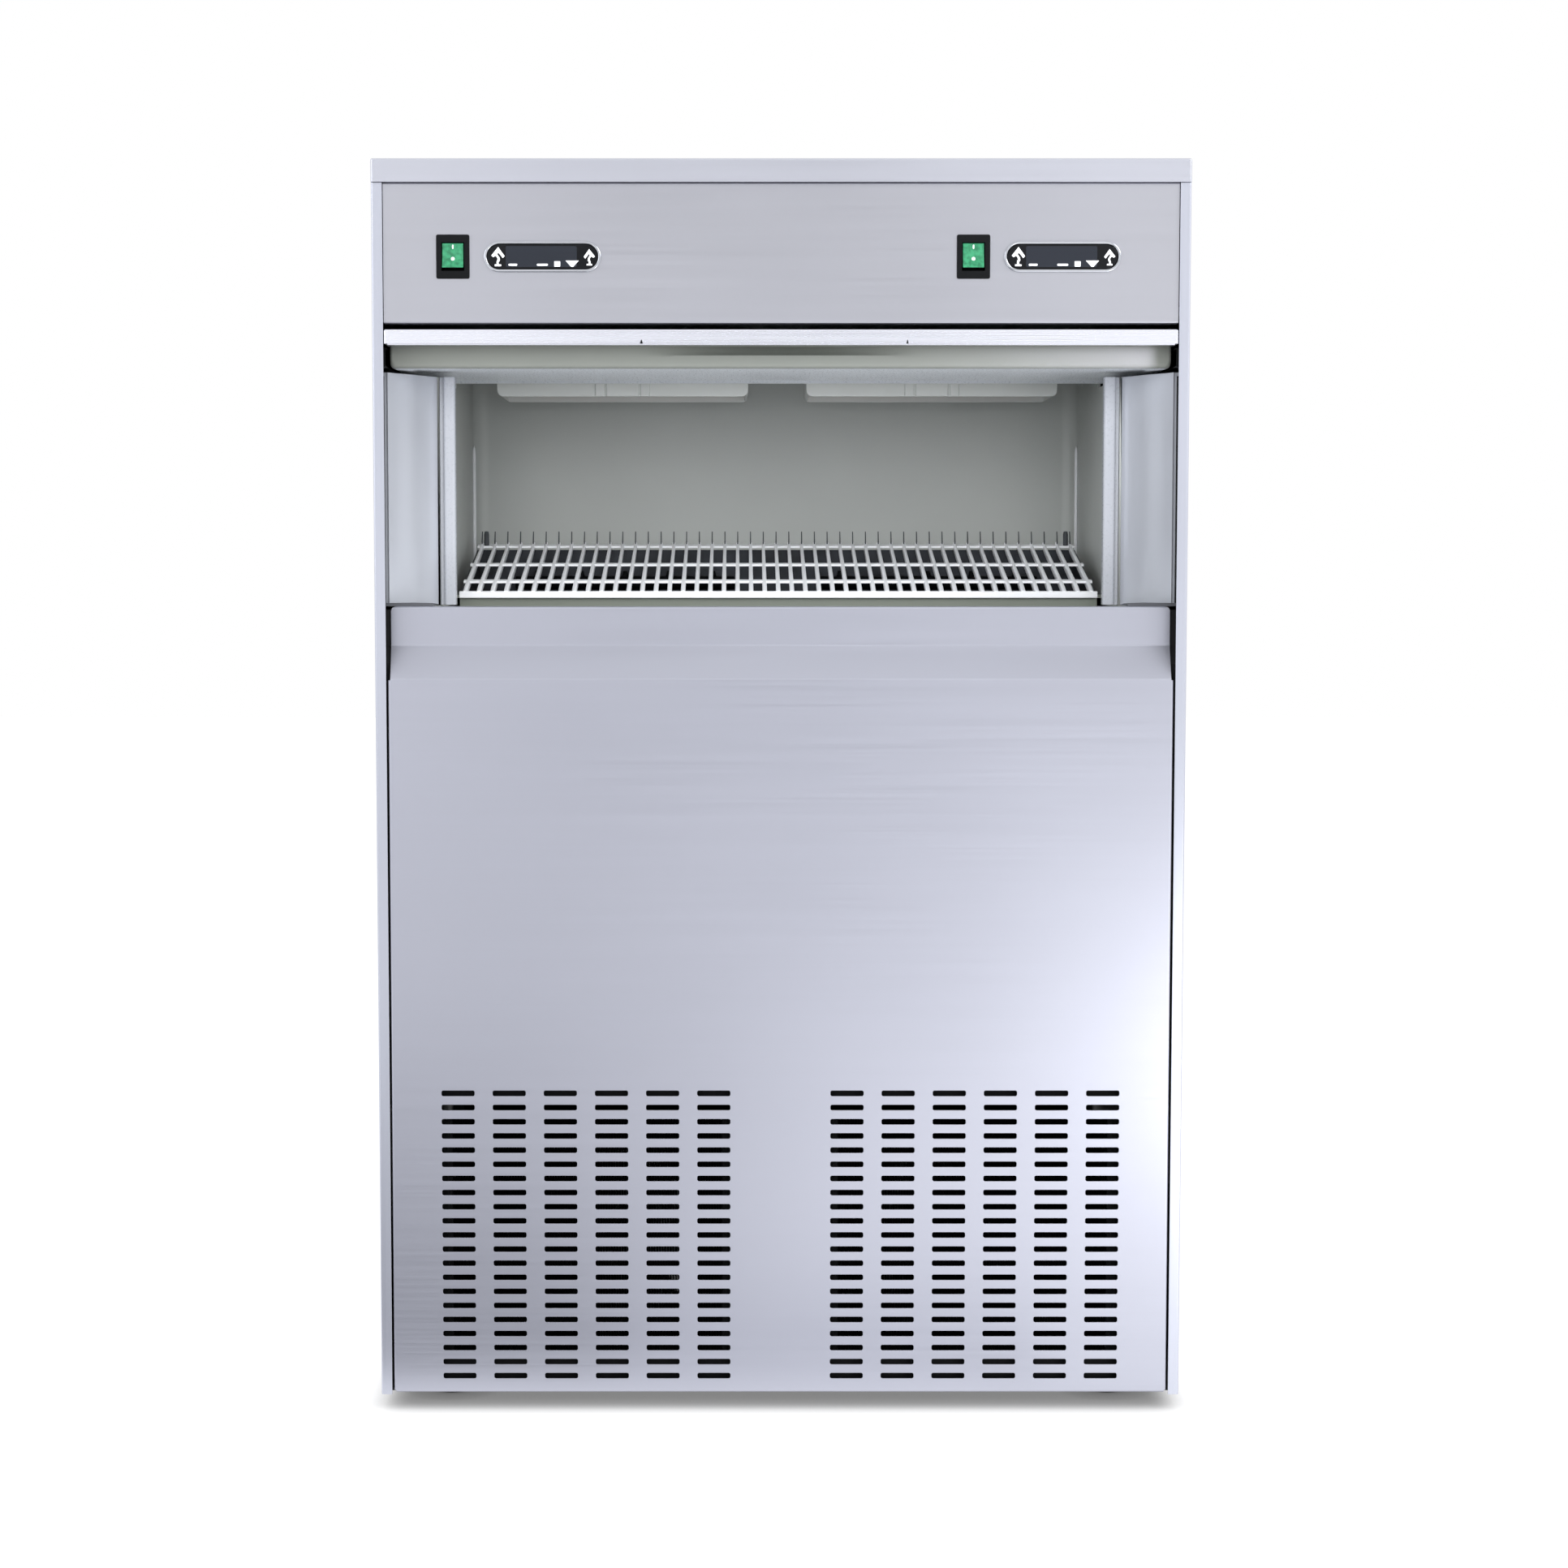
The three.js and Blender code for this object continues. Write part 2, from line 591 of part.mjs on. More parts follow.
function frontPanel() {
  const back = FRONT_SETBACK + FRONT_RETURN;
  const profile = sheetShape([
    [back, frontBottom], [FRONT_SETBACK, frontBottom], [FRONT_SETBACK, slopeBottom],
    [sillFace, slopeTop], [sillFace, sillTop], [sillBack, sillTop],
  ], -SHEET);
  const returns = sides.map(([, side]) =>
    box(side * panelHalf, side * (panelHalf - SHEET), FRONT_SETBACK, back, frontBottom, slopeBottom));
  const sheet = joined([alongX(profile, -panelHalf, panelHalf), ...returns]);
  return cut(sheet, [ventSlots(), ...sides.map(([, side]) => sillEndCutter(side))]);
}

function baseTray() {
  const front = FRONT_SETBACK + FRONT_RETURN + SEAT;
  const outer = box(-insideHalf, insideHalf, front, trayBack, bodyBottom, bodyBottom + TRAY_FLANGE);
  const inner = box(
    -insideHalf + SHEET, insideHalf - SHEET, front + SHEET, trayBack - SHEET,
    bodyBottom + SHEET, bodyBottom + TRAY_FLANGE + OVERRUN,
  );
  return outer.subtract(inner);
}

function foot(x, y) {
  const profile = [
    [0, 0], [FOOT_RADIUS - FOOT_CHAMFER, 0], [FOOT_RADIUS, FOOT_CHAMFER],
    [FOOT_WAIST, FOOT_HEIGHT - SEAT], [0, FOOT_HEIGHT - SEAT],
  ];
  const points = profile.map(([radius, z]) => new THREE.Vector2(radius, z));
  const geometry = new THREE.LatheGeometry(points, SMALL_SIDES);
  return solidOf(geometry.rotateX(Math.PI / 2).translate(x, y, 0));
}

// Insulated body

const drainY = LINER_BACK - BIN_DRAIN_FROM_BACK;
const drainHole = (z0, z1) => rodZ(DRAIN_RADIUS + SEAT, 0, drainY, z0, z1, SMALL_SIDES);

function machineDeck() {
  const front = FOAM_FRONT;
  const plate = box(-insideHalf, insideHalf, front, trayBack, deckTop - SHEET, deckTop);
  const flanges = [[front, front + SHEET], [trayBack - SHEET, trayBack]].map(([y0, y1]) =>
    box(-insideHalf, insideHalf, y0, y1, deckTop - DECK_FLANGE, deckTop));
  return joined([plate, ...flanges]).subtract(drainHole(deckTop - DECK_FLANGE, deckTop + OVERRUN));
}

// The bin and the ice chamber above it, as one moulding.
function binLiner() {
  const outerHalf = linerHalf + LINER_WALL;
  const outerFront = LINER_FRONT - LINER_WALL;
  const outerBack = LINER_BACK + LINER_WALL;
  const shell = box(-outerHalf, outerHalf, outerFront, outerBack, binFloor - LINER_WALL, ledgeTop);
  const chamberLedges = sides.map(([, side]) =>
    box(
      side * linerHalf, side * insideHalf, CHAMBER_FRONT, outerBack,
      ledgeTop - LINER_WALL, ledgeTop,
    ));
  const sillLedges = sides.map(([, side]) =>
    box(
      side * linerHalf, side * insideHalf, outerFront, CHAMBER_FRONT,
      sillTop - LINER_WALL, sillTop,
    ));
  const backWall = box(
    -outerHalf, outerHalf, LINER_BACK, outerBack, ledgeTop - LINER_WALL, ceilingBottom - SEAT);
  const supports = sides.map(([, side]) => box(
    side * (linerHalf - SUPPORT_WIDTH), side * outerHalf, tankFront, TANK_BACK,
    tankFlangeBottom - SEAT - SUPPORT_HEIGHT, tankFlangeBottom - SEAT,
  ));
  const inside = box(
    -linerHalf, linerHalf, LINER_FRONT, LINER_BACK, binFloor, ledgeTop + OVERRUN);
  const opening = box(
    -outerHalf, outerHalf, outerFront - OVERRUN, CHAMBER_FRONT, sillTop, ledgeTop + OVERRUN);
  const drain = drainHole(binFloor - LINER_WALL - OVERRUN, binFloor + OVERRUN);
  const hollow = cut(shell, [inside, opening, drain]);
  return joined([hollow, ...chamberLedges, ...sillLedges, backWall, ...supports]);
}

function insulation() {
  const half = insideHalf;
  const back = LINER_BACK + LINER_WALL + SEAT + FOAM_BACK_WALL;
  const bottom = deckTop + SEAT;
  const sillUnder = sillTop - LINER_WALL - SEAT;
  const behindSill = sillFace + SHEET + SEAT;
  const slopeShare = (FOAM_FRONT - sillFace) / RECESS;
  const profile = shapeOf([
    [FOAM_FRONT, bottom], [back, bottom], [back, sillUnder], [behindSill, sillUnder],
    [behindSill, slopeTop - SHEET - SEAT],
    [FOAM_FRONT, slopeTop + slopeShare * SLOPE_RISE - 2 * SHEET - SEAT],
  ]);
  const lower = alongX(profile, -half, half);
  const upper = box(
    -half, half, CHEEK_FRONT + CHEEK_WALL + SEAT, back, sillUnder - SEAT, ledgeTop - LINER_WALL - SEAT);
  const gap = SEAT + LINER_WALL;
  const bin = box(
    -linerHalf - gap, linerHalf + gap, LINER_FRONT - gap, LINER_BACK + gap,
    binFloor - gap, ledgeTop + OVERRUN,
  );
  const ledgeSlot = box(
    -half - OVERRUN, half + OVERRUN, 0, CHAMBER_FRONT + SEAT, sillUnder, sillTop + SEAT);
  const mouth = sides.map(([, side]) => {
    const wall = CHEEK_WALL + 2 * SEAT;
    const inner = linerHalf;
    return alongZ(shapeOf([
      [side * (half + OVERRUN), 0], [side * (half + OVERRUN), CHEEK_FRONT + wall],
      [side * (cheekFrontHalf + wall), CHEEK_FRONT + wall],
      [side * (cheekBackHalf + wall + SEAT), CHAMBER_FRONT + SEAT],
      [side * inner, CHAMBER_FRONT + SEAT], [side * inner, 0],
    ]), sillUnder, ledgeTop + OVERRUN);
  });
  return cut(lower.add(upper), [bin, ledgeSlot, ...mouth, drainHole(bottom - OVERRUN, binFloor)]);
}

function cheek(side) {
  const back = CHAMBER_FRONT - CHEEK_WALL;
  const profile = sheetShape([
    [side * insideHalf, CHEEK_FRONT], [side * cheekFrontHalf, CHEEK_FRONT],
    [side * cheekBackHalf, back],
  ], -side * CHEEK_WALL);
  return alongZ(profile, sillTop + SEAT, ledgeTop);
}

// The bright upright bead on the chamber wall's front edge, with a groove on its outer side.
function edgeTrim(side) {
  const outer = linerHalf - SEAT;
  const bead = outer - TRIM_GROOVE;
  const inner = bead - TRIM_WIDTH;
  const front = CHAMBER_FRONT - TRIM_LEAD;
  const back = front + TRIM_DEPTH;
  const outline = shapeOf([
    [side * inner, front], [side * bead, front], [side * bead, front + TRIM_STEP],
    [side * outer, front + TRIM_STEP], [side * outer, back], [side * inner, back],
  ]);
  return alongZ(outline, sillTop + SEAT, ledgeTop);
}

function ceilingPanel() {
  const front = CONTROL_SETBACK + CONTROL_RETURN + SEAT;
  const back = LINER_BACK + LINER_WALL + SEAT + FOAM_BACK_WALL;
  const profile = sheetShape([
    [-insideHalf, ceilingBottom + CEILING_FLANGE], [-insideHalf, ceilingBottom],
    [insideHalf, ceilingBottom], [insideHalf, ceilingBottom + CEILING_FLANGE],
  ], SHEET);
  return alongY(profile, front, back);
}

// Door and its rails

function guideRail(side) {
  const outer = insideHalf;
  const depth = RAIL_WALL + 2 * SEAT + GLIDE_WIDTH + SEAT;
  const channel = GLIDE_RADIUS + SEAT;
  const front = pinY - DOOR_TRAVEL - channel - RAIL_WALL;
  const high = channel + RAIL_WALL;
  const body = box(
    side * outer, side * (outer - depth), front, front + RAIL_LENGTH, pinZ - high, pinZ + high);
  const slot = box(
    side * (outer - RAIL_WALL), side * (outer - depth - OVERRUN), front + RAIL_WALL,
    front + RAIL_LENGTH - RAIL_WALL, pinZ - channel, pinZ + channel,
  );
  return body.subtract(slot);
}

// A nylon glide moulded on its pin, which turns in the door's edge.
function doorGlide(side) {
  const outer = insideHalf - RAIL_WALL - SEAT;
  const glide = rodX(GLIDE_RADIUS, side * outer, side * (outer - GLIDE_WIDTH), pinY, pinZ, ROUND_SIDES);
  const pin = rodX(PIN_RADIUS, side * outer, side * (panelHalf - PIN_IN_DOOR), pinY, pinZ, SMALL_SIDES);
  return glide.add(pin);
}

function doorSkin() {
  const bottom = doorFace - DOOR_SKIN_DEPTH;
  const profile = sheetShape([
    [FRONT_SETBACK + DOOR_LIP, bottom], [FRONT_SETBACK, bottom], [FRONT_SETBACK, doorFace],
    [doorRear, doorFace], [doorRear, bottom],
  ], -SHEET);
  const rims = sides.map(([, side]) =>
    box(side * panelHalf, side * (panelHalf - SHEET), FRONT_SETBACK, doorRear, bottom, doorFace));
  return joined([alongX(profile, -panelHalf, panelHalf), ...rims]);
}

// The plastic inner door: a block inside the skin's rims and a raised pad below them.
function doorLiner() {
  const skinBottom = doorFace - DOOR_SKIN_DEPTH;
  const bottom = skinBottom - DOOR_LINER_DEPTH;
  const front = FRONT_SETBACK + DOOR_LINER_SETBACK;
  const back = doorRear - DOOR_LINER_REAR;
  const inner = panelHalf - SHEET - SEAT;
  const core = box(
    -inner, inner, FRONT_SETBACK + DOOR_LIP + SEAT, doorRear - SHEET - SEAT,
    skinBottom - SEAT, doorFace - SHEET - SEAT,
  );
  const pad = alongX(shapeOf([
    [front, bottom + DOOR_LINER_CHAMFER], [front + DOOR_LINER_CHAMFER / 2, bottom], [back, bottom],
    [back, skinBottom - SEAT], [front, skinBottom - SEAT],
  ]), -panelHalf, panelHalf);
  const bores = sides.map(([, side]) => rodX(
    PIN_RADIUS + SEAT, side * (panelHalf + OVERRUN), side * (panelHalf - PIN_IN_DOOR - SEAT),
    pinY, pinZ, SMALL_SIDES,
  ));
  return cut(core.add(pad), bores);
}

// Controls

const fromSides = (distances) => distances.map((distance, i) => sides[i][1] * (panelHalf - distance));
const switchCentres = fromSides(SWITCH_FROM_SIDES);
const displayCentres = fromSides(DISPLAY_FROM_SIDES);

function switchHousing(x) {
  const bezelBack = CONTROL_SETBACK - SEAT;
  const halfBody = SWITCH_WIDTH / 2 - SWITCH_BODY_INSET;
  const halfBodyHeight = SWITCH_HEIGHT / 2 - SWITCH_BODY_INSET;
  const back = CONTROL_SETBACK + SWITCH_BODY_DEPTH;
  const bezel = box(
    x - SWITCH_WIDTH / 2, x + SWITCH_WIDTH / 2, bezelBack - SWITCH_PROUD, bezelBack,
    switchZ - SWITCH_HEIGHT / 2, switchZ + SWITCH_HEIGHT / 2,
  );
  const body = box(
    x - halfBody, x + halfBody, bezelBack - SWITCH_PROUD, back,
    switchZ - halfBodyHeight, switchZ + halfBodyHeight,
  );
  const halfPocket = ROCKER_WIDTH / 2 + ROCKER_GAP;
  const halfPocketHeight = ROCKER_HALF_HEIGHT + ROCKER_END_GAP;
  const pocket = box(
    x - halfPocket, x + halfPocket, bezelBack - SWITCH_PROUD - OVERRUN, back - SWITCH_FLOOR,
    switchZ - halfPocketHeight, switchZ + halfPocketHeight,
  );
  return bezel.add(body).subtract(pocket);
}

// The rocker about its own pivot, with its upper half pressed in by the rest tilt.
function addRocker(name, x) {
  const outline = shapeOf([
    [-ROCKER_REACH, ROCKER_HALF_HEIGHT], [-ROCKER_WAIST, 0], [-ROCKER_REACH, -ROCKER_HALF_HEIGHT],
    [ROCKER_HEEL, -ROCKER_HEEL_HALF], [ROCKER_HEEL, ROCKER_HEEL_HALF],
  ]);
  const pivot = new THREE.Group();
  pivot.position.set(x, CONTROL_SETBACK + ROCKER_PIVOT_DEPTH, switchZ);
  pivot.rotation.x = -ROCKER_TILT;
  cabinet.add(pivot);
  add(name, alongX(outline, -ROCKER_WIDTH / 2, ROCKER_WIDTH / 2), "green", pivot);
}

function displayBezel(x) {
  const back = CONTROL_SETBACK - SEAT;
  const outer = alongY(stadium(x, switchZ, DISPLAY_WIDTH, DISPLAY_HEIGHT), back - DISPLAY_PROUD, back);
  const hole = stadium(x, switchZ, DISPLAY_WIDTH - 2 * DISPLAY_RIM, DISPLAY_HEIGHT - 2 * DISPLAY_RIM);
  return outer.subtract(alongY(hole, back - DISPLAY_PROUD - OVERRUN, back + OVERRUN));
}

function displayWindow(x) {
  const inset = DISPLAY_RIM + SEAT;
  const front = CONTROL_SETBACK - SEAT - DISPLAY_PROUD + DISPLAY_WINDOW_INSET;
  const face = stadium(x, switchZ, DISPLAY_WIDTH - 2 * inset, DISPLAY_HEIGHT - 2 * inset);
  return alongY(face, front, front + DISPLAY_DEPTH);
}

// Comb grid over the water tank

const gridTop = sillTop + GRID_FRONT_TOP;
const gridBack = GRID_FRONT + GRID_LENGTH;
const tankTop = gridTop - GRID_THICKNESS - SEAT;
const tankFront = GRID_FRONT + GRID_LIP_DEPTH + SEAT;
const tankFlangeBottom = tankTop - TANK_FLANGE;

function iceGrid() {
  const profile = shapeOf([
    [GRID_FRONT, gridTop - GRID_LIP], [GRID_FRONT + GRID_LIP_DEPTH, gridTop - GRID_LIP],
    [GRID_FRONT + GRID_LIP_DEPTH, gridTop - GRID_THICKNESS],
    [gridBack, gridTop + GRID_RISE - GRID_THICKNESS], [gridBack, gridTop + GRID_RISE],
    [GRID_FRONT, gridTop],
  ]);
  const plate = alongX(profile, -gridHalf, gridHalf);
  const columns = Math.floor((2 * gridHalf - GRID_RIB) / GRID_PITCH);
  const start = -(columns * GRID_PITCH) / 2;
  const openings = [];
  for (let column = 0; column < columns; column += 1) {
    const x0 = start + column * GRID_PITCH + GRID_RIB / 2;
    for (let row = 0; row < GRID_ROW_SHARES.length; row += 2) {
      openings.push([
        x0, x0 + GRID_PITCH - GRID_RIB,
        GRID_FRONT + GRID_ROW_SHARES[row] * GRID_LENGTH + GRID_LIP_DEPTH * (row === 0 ? 1 : 0),
        GRID_FRONT + GRID_ROW_SHARES[row + 1] * GRID_LENGTH,
        gridTop - GRID_LIP - OVERRUN, gridTop + GRID_RISE + OVERRUN,
      ]);
    }
  }
  // Each rib ends in a tooth that stands up from the rear bar and leans back.
  const barTop = gridTop + GRID_RISE;
  const tooth = shapeOf([
    [gridBack - TOOTH_DEPTH, barTop - GRID_THICKNESS], [gridBack, barTop - GRID_THICKNESS],
    [gridBack + TOOTH_LEAN, barTop + TOOTH_HEIGHT],
    [gridBack + TOOTH_LEAN - TOOTH_DEPTH / 2, barTop + TOOTH_HEIGHT],
  ]);
  const teeth = [];
  for (let rib = 0; rib <= columns; rib += 1) {
    const x = start + rib * GRID_PITCH;
    teeth.push(alongX(tooth, x - GRID_RIB / 4, x + GRID_RIB / 4));
  }
  return joined([plate.subtract(boxes(openings)), ...teeth]);
}

// The tank's sides rise with the sloping comb, which lies on them. A splash wall joins them behind the
// comb, with a hole for each spray bar's feed.
function waterTank() {
  const half = gridHalf;
  const bottom = tankTop - TANK_DEPTH;
  const slope = GRID_RISE / GRID_LENGTH;
  const combEnd = tankTop + slope * (gridBack - GRID_FRONT - GRID_LIP_DEPTH);
  const splashFront = gridBack + SEAT;
  const splashBack = splashFront + TANK_WALL;
  const outer = alongX(shapeOf([
    [tankFront + TANK_FRONT_TAPER, bottom], [TANK_BACK, bottom],
    [TANK_BACK, tankTop], [splashBack, tankTop], [splashBack, combEnd], [gridBack, combEnd],
    [tankFront, tankTop + slope * (tankFront - GRID_FRONT - GRID_LIP_DEPTH)],
  ]), -half, half);
  const inner = alongX(shapeOf([
    [tankFront + TANK_FRONT_TAPER + TANK_WALL, bottom + TANK_WALL],
    [TANK_BACK - TANK_WALL, bottom + TANK_WALL],
    [TANK_BACK - TANK_WALL, tankTop - TANK_WALL], [TANK_BACK - TANK_SHELF, tankTop - TANK_WALL],
    [TANK_BACK - TANK_SHELF, tankTop + GRID_RISE], [tankFront + TANK_WALL, tankTop + GRID_RISE],
  ]), -half + TANK_WALL, half - TANK_WALL);
  const flanges = sides.map(([, side]) => box(
    side * (half - TANK_WALL), side * (linerHalf - SEAT), tankFront, TANK_BACK,
    tankFlangeBottom, tankTop,
  ));
  const splash = box(-half, half, splashFront, splashBack, tankTop - SPLASH_DROP, combEnd);
  const holes = moduleCentres.flatMap((x) => [
    rodZ(PUMP_RADIUS + SEAT, x, pumpY, tankTop - TANK_WALL - OVERRUN, tankTop + OVERRUN),
    rodY(
      PUMP_OUTLET_RADIUS + SPLASH_HOLE_GAP, x, splashFront - OVERRUN, splashBack + OVERRUN, sprayZ,
      SMALL_SIDES),
  ]);
  return cut(joined([outer.subtract(inner), splash, ...flanges]), holes);
}

const moduleCentre = EVAPORATOR_INNER_EDGE + moduleWidth / 2;
const moduleCentres = [-moduleCentre, moduleCentre];
const pumpY = TANK_BACK - TANK_SHELF / 2;
const sprayZ = tankTop + PUMP_FLANGE + SEAT + PUMP_OUTLET_RADIUS + SEAT;
const sprayY = EVAPORATOR_FRONT + EVAPORATOR_DEPTH / 2;

// A small submerged pump: motor above the tank's shelf, neck and volute below it.
function waterPump(x) {
  const seat = tankTop + SEAT;
  const volute = tankTop - PUMP_DROP;
  return joined([
    rodZ(PUMP_FLANGE_RADIUS, x, pumpY, seat, seat + PUMP_FLANGE),
    rodZ(PUMP_RADIUS, x, pumpY, seat, seat + PUMP_FLANGE + PUMP_MOTOR_HEIGHT),
    rodZ(PUMP_NECK_RADIUS, x, pumpY, volute, seat, SMALL_SIDES),
    rodZ(PUMP_RADIUS - SEAT, x, pumpY, volute, volute + PUMP_VOLUTE_HEIGHT),
    rodY(PUMP_OUTLET_RADIUS, x, pumpY - PUMP_RADIUS - PUMP_OUTLET_REACH, pumpY, sprayZ, SMALL_SIDES),
  ]);
}

function sprayBar(x) {
  const half = moduleWidth / 2 - SPRAY_END_GAP;
  const pieces = [
    rodX(SPRAY_RADIUS, x - half, x + half, sprayY, sprayZ, SMALL_SIDES),
    rodY(
      PUMP_OUTLET_RADIUS, x, sprayY, pumpY - PUMP_RADIUS - PUMP_OUTLET_REACH - SEAT, sprayZ, SMALL_SIDES),
  ];
  const pitch = (2 * half) / SPRAY_NOZZLES;
  for (let i = 0; i < SPRAY_NOZZLES; i += 1) {
    const nozzleX = x + (i - (SPRAY_NOZZLES - 1) / 2) * pitch;
    pieces.push(rodZ(NOZZLE_RADIUS, nozzleX, sprayY, sprayZ, sprayZ + NOZZLE_HEIGHT, HEX_SIDES));
  }
  return joined(pieces);
}

// Evaporator modules hung from the ceiling

function evaporatorHousing(x) {
  const top = ceilingBottom - SEAT;
  const bottom = ceilingBottom - EVAPORATOR_DROP;
  const back = EVAPORATOR_FRONT + EVAPORATOR_DEPTH;
  const half = moduleWidth / 2;
  const height = top - bottom + EVAPORATOR_CORNER;
  const outline = roundedRectangle(
    x, bottom + height / 2, moduleWidth, height, EVAPORATOR_CORNER);
  const body = alongY(outline, EVAPORATOR_FRONT, back).subtract(
    box(x - half - OVERRUN, x + half + OVERRUN, 0, DEPTH, top, top + 2 * EVAPORATOR_CORNER));
  const inside = box(
    x - half + EVAPORATOR_WALL, x + half - EVAPORATOR_WALL, EVAPORATOR_FRONT + EVAPORATOR_WALL,
    back - EVAPORATOR_WALL, bottom - OVERRUN, top - EVAPORATOR_WALL,
  );
  const clip = box(
    x - CLIP_WIDTH / 2, x + CLIP_WIDTH / 2, EVAPORATOR_FRONT - CLIP_PROUD,
    EVAPORATOR_FRONT + EVAPORATOR_WALL / 2, bottom, top,
  );
  const grooves = [-1, 1].map((side) => {
    const edge = x + side * (CLIP_WIDTH / 2 - CLIP_EAR);
    return box(
      edge - CLIP_GROOVE / 2, edge + CLIP_GROOVE / 2, EVAPORATOR_FRONT - CLIP_PROUD - OVERRUN,
      EVAPORATOR_FRONT, bottom - OVERRUN, top + OVERRUN,
    );
  });
  return cut(body.subtract(inside).add(clip), grooves);
}

// A plate of upside-down cups, in which the ice grows.
function evaporator(x) {
  const mouth = ceilingBottom - EVAPORATOR_DROP + CUP_LIFT;
  const plateBottom = mouth + CUP_HEIGHT;
  const inset = EVAPORATOR_WALL + SEAT;
  const plate = box(
    x - moduleWidth / 2 + inset, x + moduleWidth / 2 - inset, EVAPORATOR_FRONT + inset,
    EVAPORATOR_FRONT + EVAPORATOR_DEPTH - inset, plateBottom, plateBottom + CUP_PLATE,
  );
  const columnPitch = (moduleWidth - 2 * inset) / CUP_COLUMNS;
  const rowPitch = (EVAPORATOR_DEPTH - 2 * inset) / CUP_ROWS;
  const cups = [];
  const hollows = [];
  for (let column = 0; column < CUP_COLUMNS; column += 1) {
    for (let row = 0; row < CUP_ROWS; row += 1) {
      const cupX = x + (column - (CUP_COLUMNS - 1) / 2) * columnPitch;
      const cupY = sprayY + (row - (CUP_ROWS - 1) / 2) * rowPitch;
      cups.push(rodZ(CUP_RADIUS, cupX, cupY, mouth, plateBottom, HEX_SIDES));
      hollows.push(rodZ(
        CUP_RADIUS - CUP_WALL, cupX, cupY, mouth - OVERRUN, plateBottom - CUP_WALL, HEX_SIDES));
    }
  }
  return cut(joined([plate, ...cups]), hollows);
}

// Machine compartment

const condenserBottom = trayTop;
const fanZ = condenserBottom + CONDENSER_HEIGHT / 2;
const shroudFront = CONDENSER_FRONT + CONDENSER_DEPTH + SEAT;

function condenser(side) {
  const x = side * condenserCentre;
  const half = CONDENSER_WIDTH / 2;
  const back = CONDENSER_FRONT + CONDENSER_DEPTH;
  const top = condenserBottom + CONDENSER_HEIGHT;
  const block = box(
    x - half + CONDENSER_END_PLATE, x + half - CONDENSER_END_PLATE, CONDENSER_FRONT + CONDENSER_FLANGE,
    back, condenserBottom + CONDENSER_END_PLATE, top,
  );
  const ends = [-1, 1].map((end) => box(
    x + end * half, x + end * (half - CONDENSER_END_PLATE), CONDENSER_FRONT, back, condenserBottom, top));
  const bends = [];
  for (let i = 0; i < CONDENSER_BENDS; i += 1) {
    const z = condenserBottom + ((i + 1 / 2) * CONDENSER_HEIGHT) / CONDENSER_BENDS;
    const y = CONDENSER_FRONT + CONDENSER_DEPTH / 2;
    const bend = new THREE.TorusGeometry(BEND_RADIUS, BEND_TUBE, HEX_SIDES, SMALL_SIDES);
    bends.push(solidOf(bend.translate(x + half, y, z)));
  }
  const keepOut = box(
    x - half, x + half - CONDENSER_END_PLATE / 2, CONDENSER_FRONT - BEND_RADIUS, back + BEND_RADIUS,
    condenserBottom, top,
  );
  return joined([block, ...ends, cut(joined(bends), [keepOut])]);
}

function fanShroud(side) {
  const x = side * condenserCentre;
  const half = CONDENSER_WIDTH / 2;
  const top = condenserBottom + CONDENSER_HEIGHT;
  const hole = FAN_RADIUS + FAN_TIP_GAP;
  const plate = box(x - half, x + half, shroudFront, shroudFront + SHROUD_PLATE, condenserBottom, top);
  const ring = rodY(hole + SHROUD_RING, x, shroudFront, shroudFront + SHROUD_DEPTH, fanZ, FINE_SIDES);
  const bore = rodY(hole, x, shroudFront - OVERRUN, shroudFront + SHROUD_DEPTH + OVERRUN, fanZ, FINE_SIDES);
  return plate.add(ring).subtract(bore);
}

function fan(side) {
  const x = side * condenserCentre;
  const front = shroudFront + FAN_START;
  const hub = rodY(FAN_HUB_RADIUS, x, front, front + FAN_DEPTH, fanZ, ROUND_SIDES);
  const length = FAN_RADIUS - FAN_HUB_RADIUS / 2;
  const outline = shapeOf(
    FAN_BLADE_SHARES.map(([along, across]) => [along * length, across * FAN_BLADE_CHORD]));
  const blades = [];
  for (let i = 0; i < FAN_BLADES; i += 1) {
    const blade = new THREE.ExtrudeGeometry(outline, { depth: FAN_BLADE_THICKNESS, bevelEnabled: false });
    blade.translate(0, 0, -FAN_BLADE_THICKNESS / 2).rotateX(Math.PI / 2 - FAN_BLADE_PITCH);
    blade.translate(FAN_HUB_RADIUS / 2, 0, 0).rotateY((i * 2 * Math.PI) / FAN_BLADES);
    blades.push(solidOf(blade.translate(x, front + FAN_DEPTH / 2, fanZ)));
  }
  const bore = rodY(
    SHAFT_RADIUS + SEAT, x, front - OVERRUN, front + FAN_DEPTH + OVERRUN, fanZ, SMALL_SIDES);
  return joined([hub, ...blades]).subtract(bore);
}

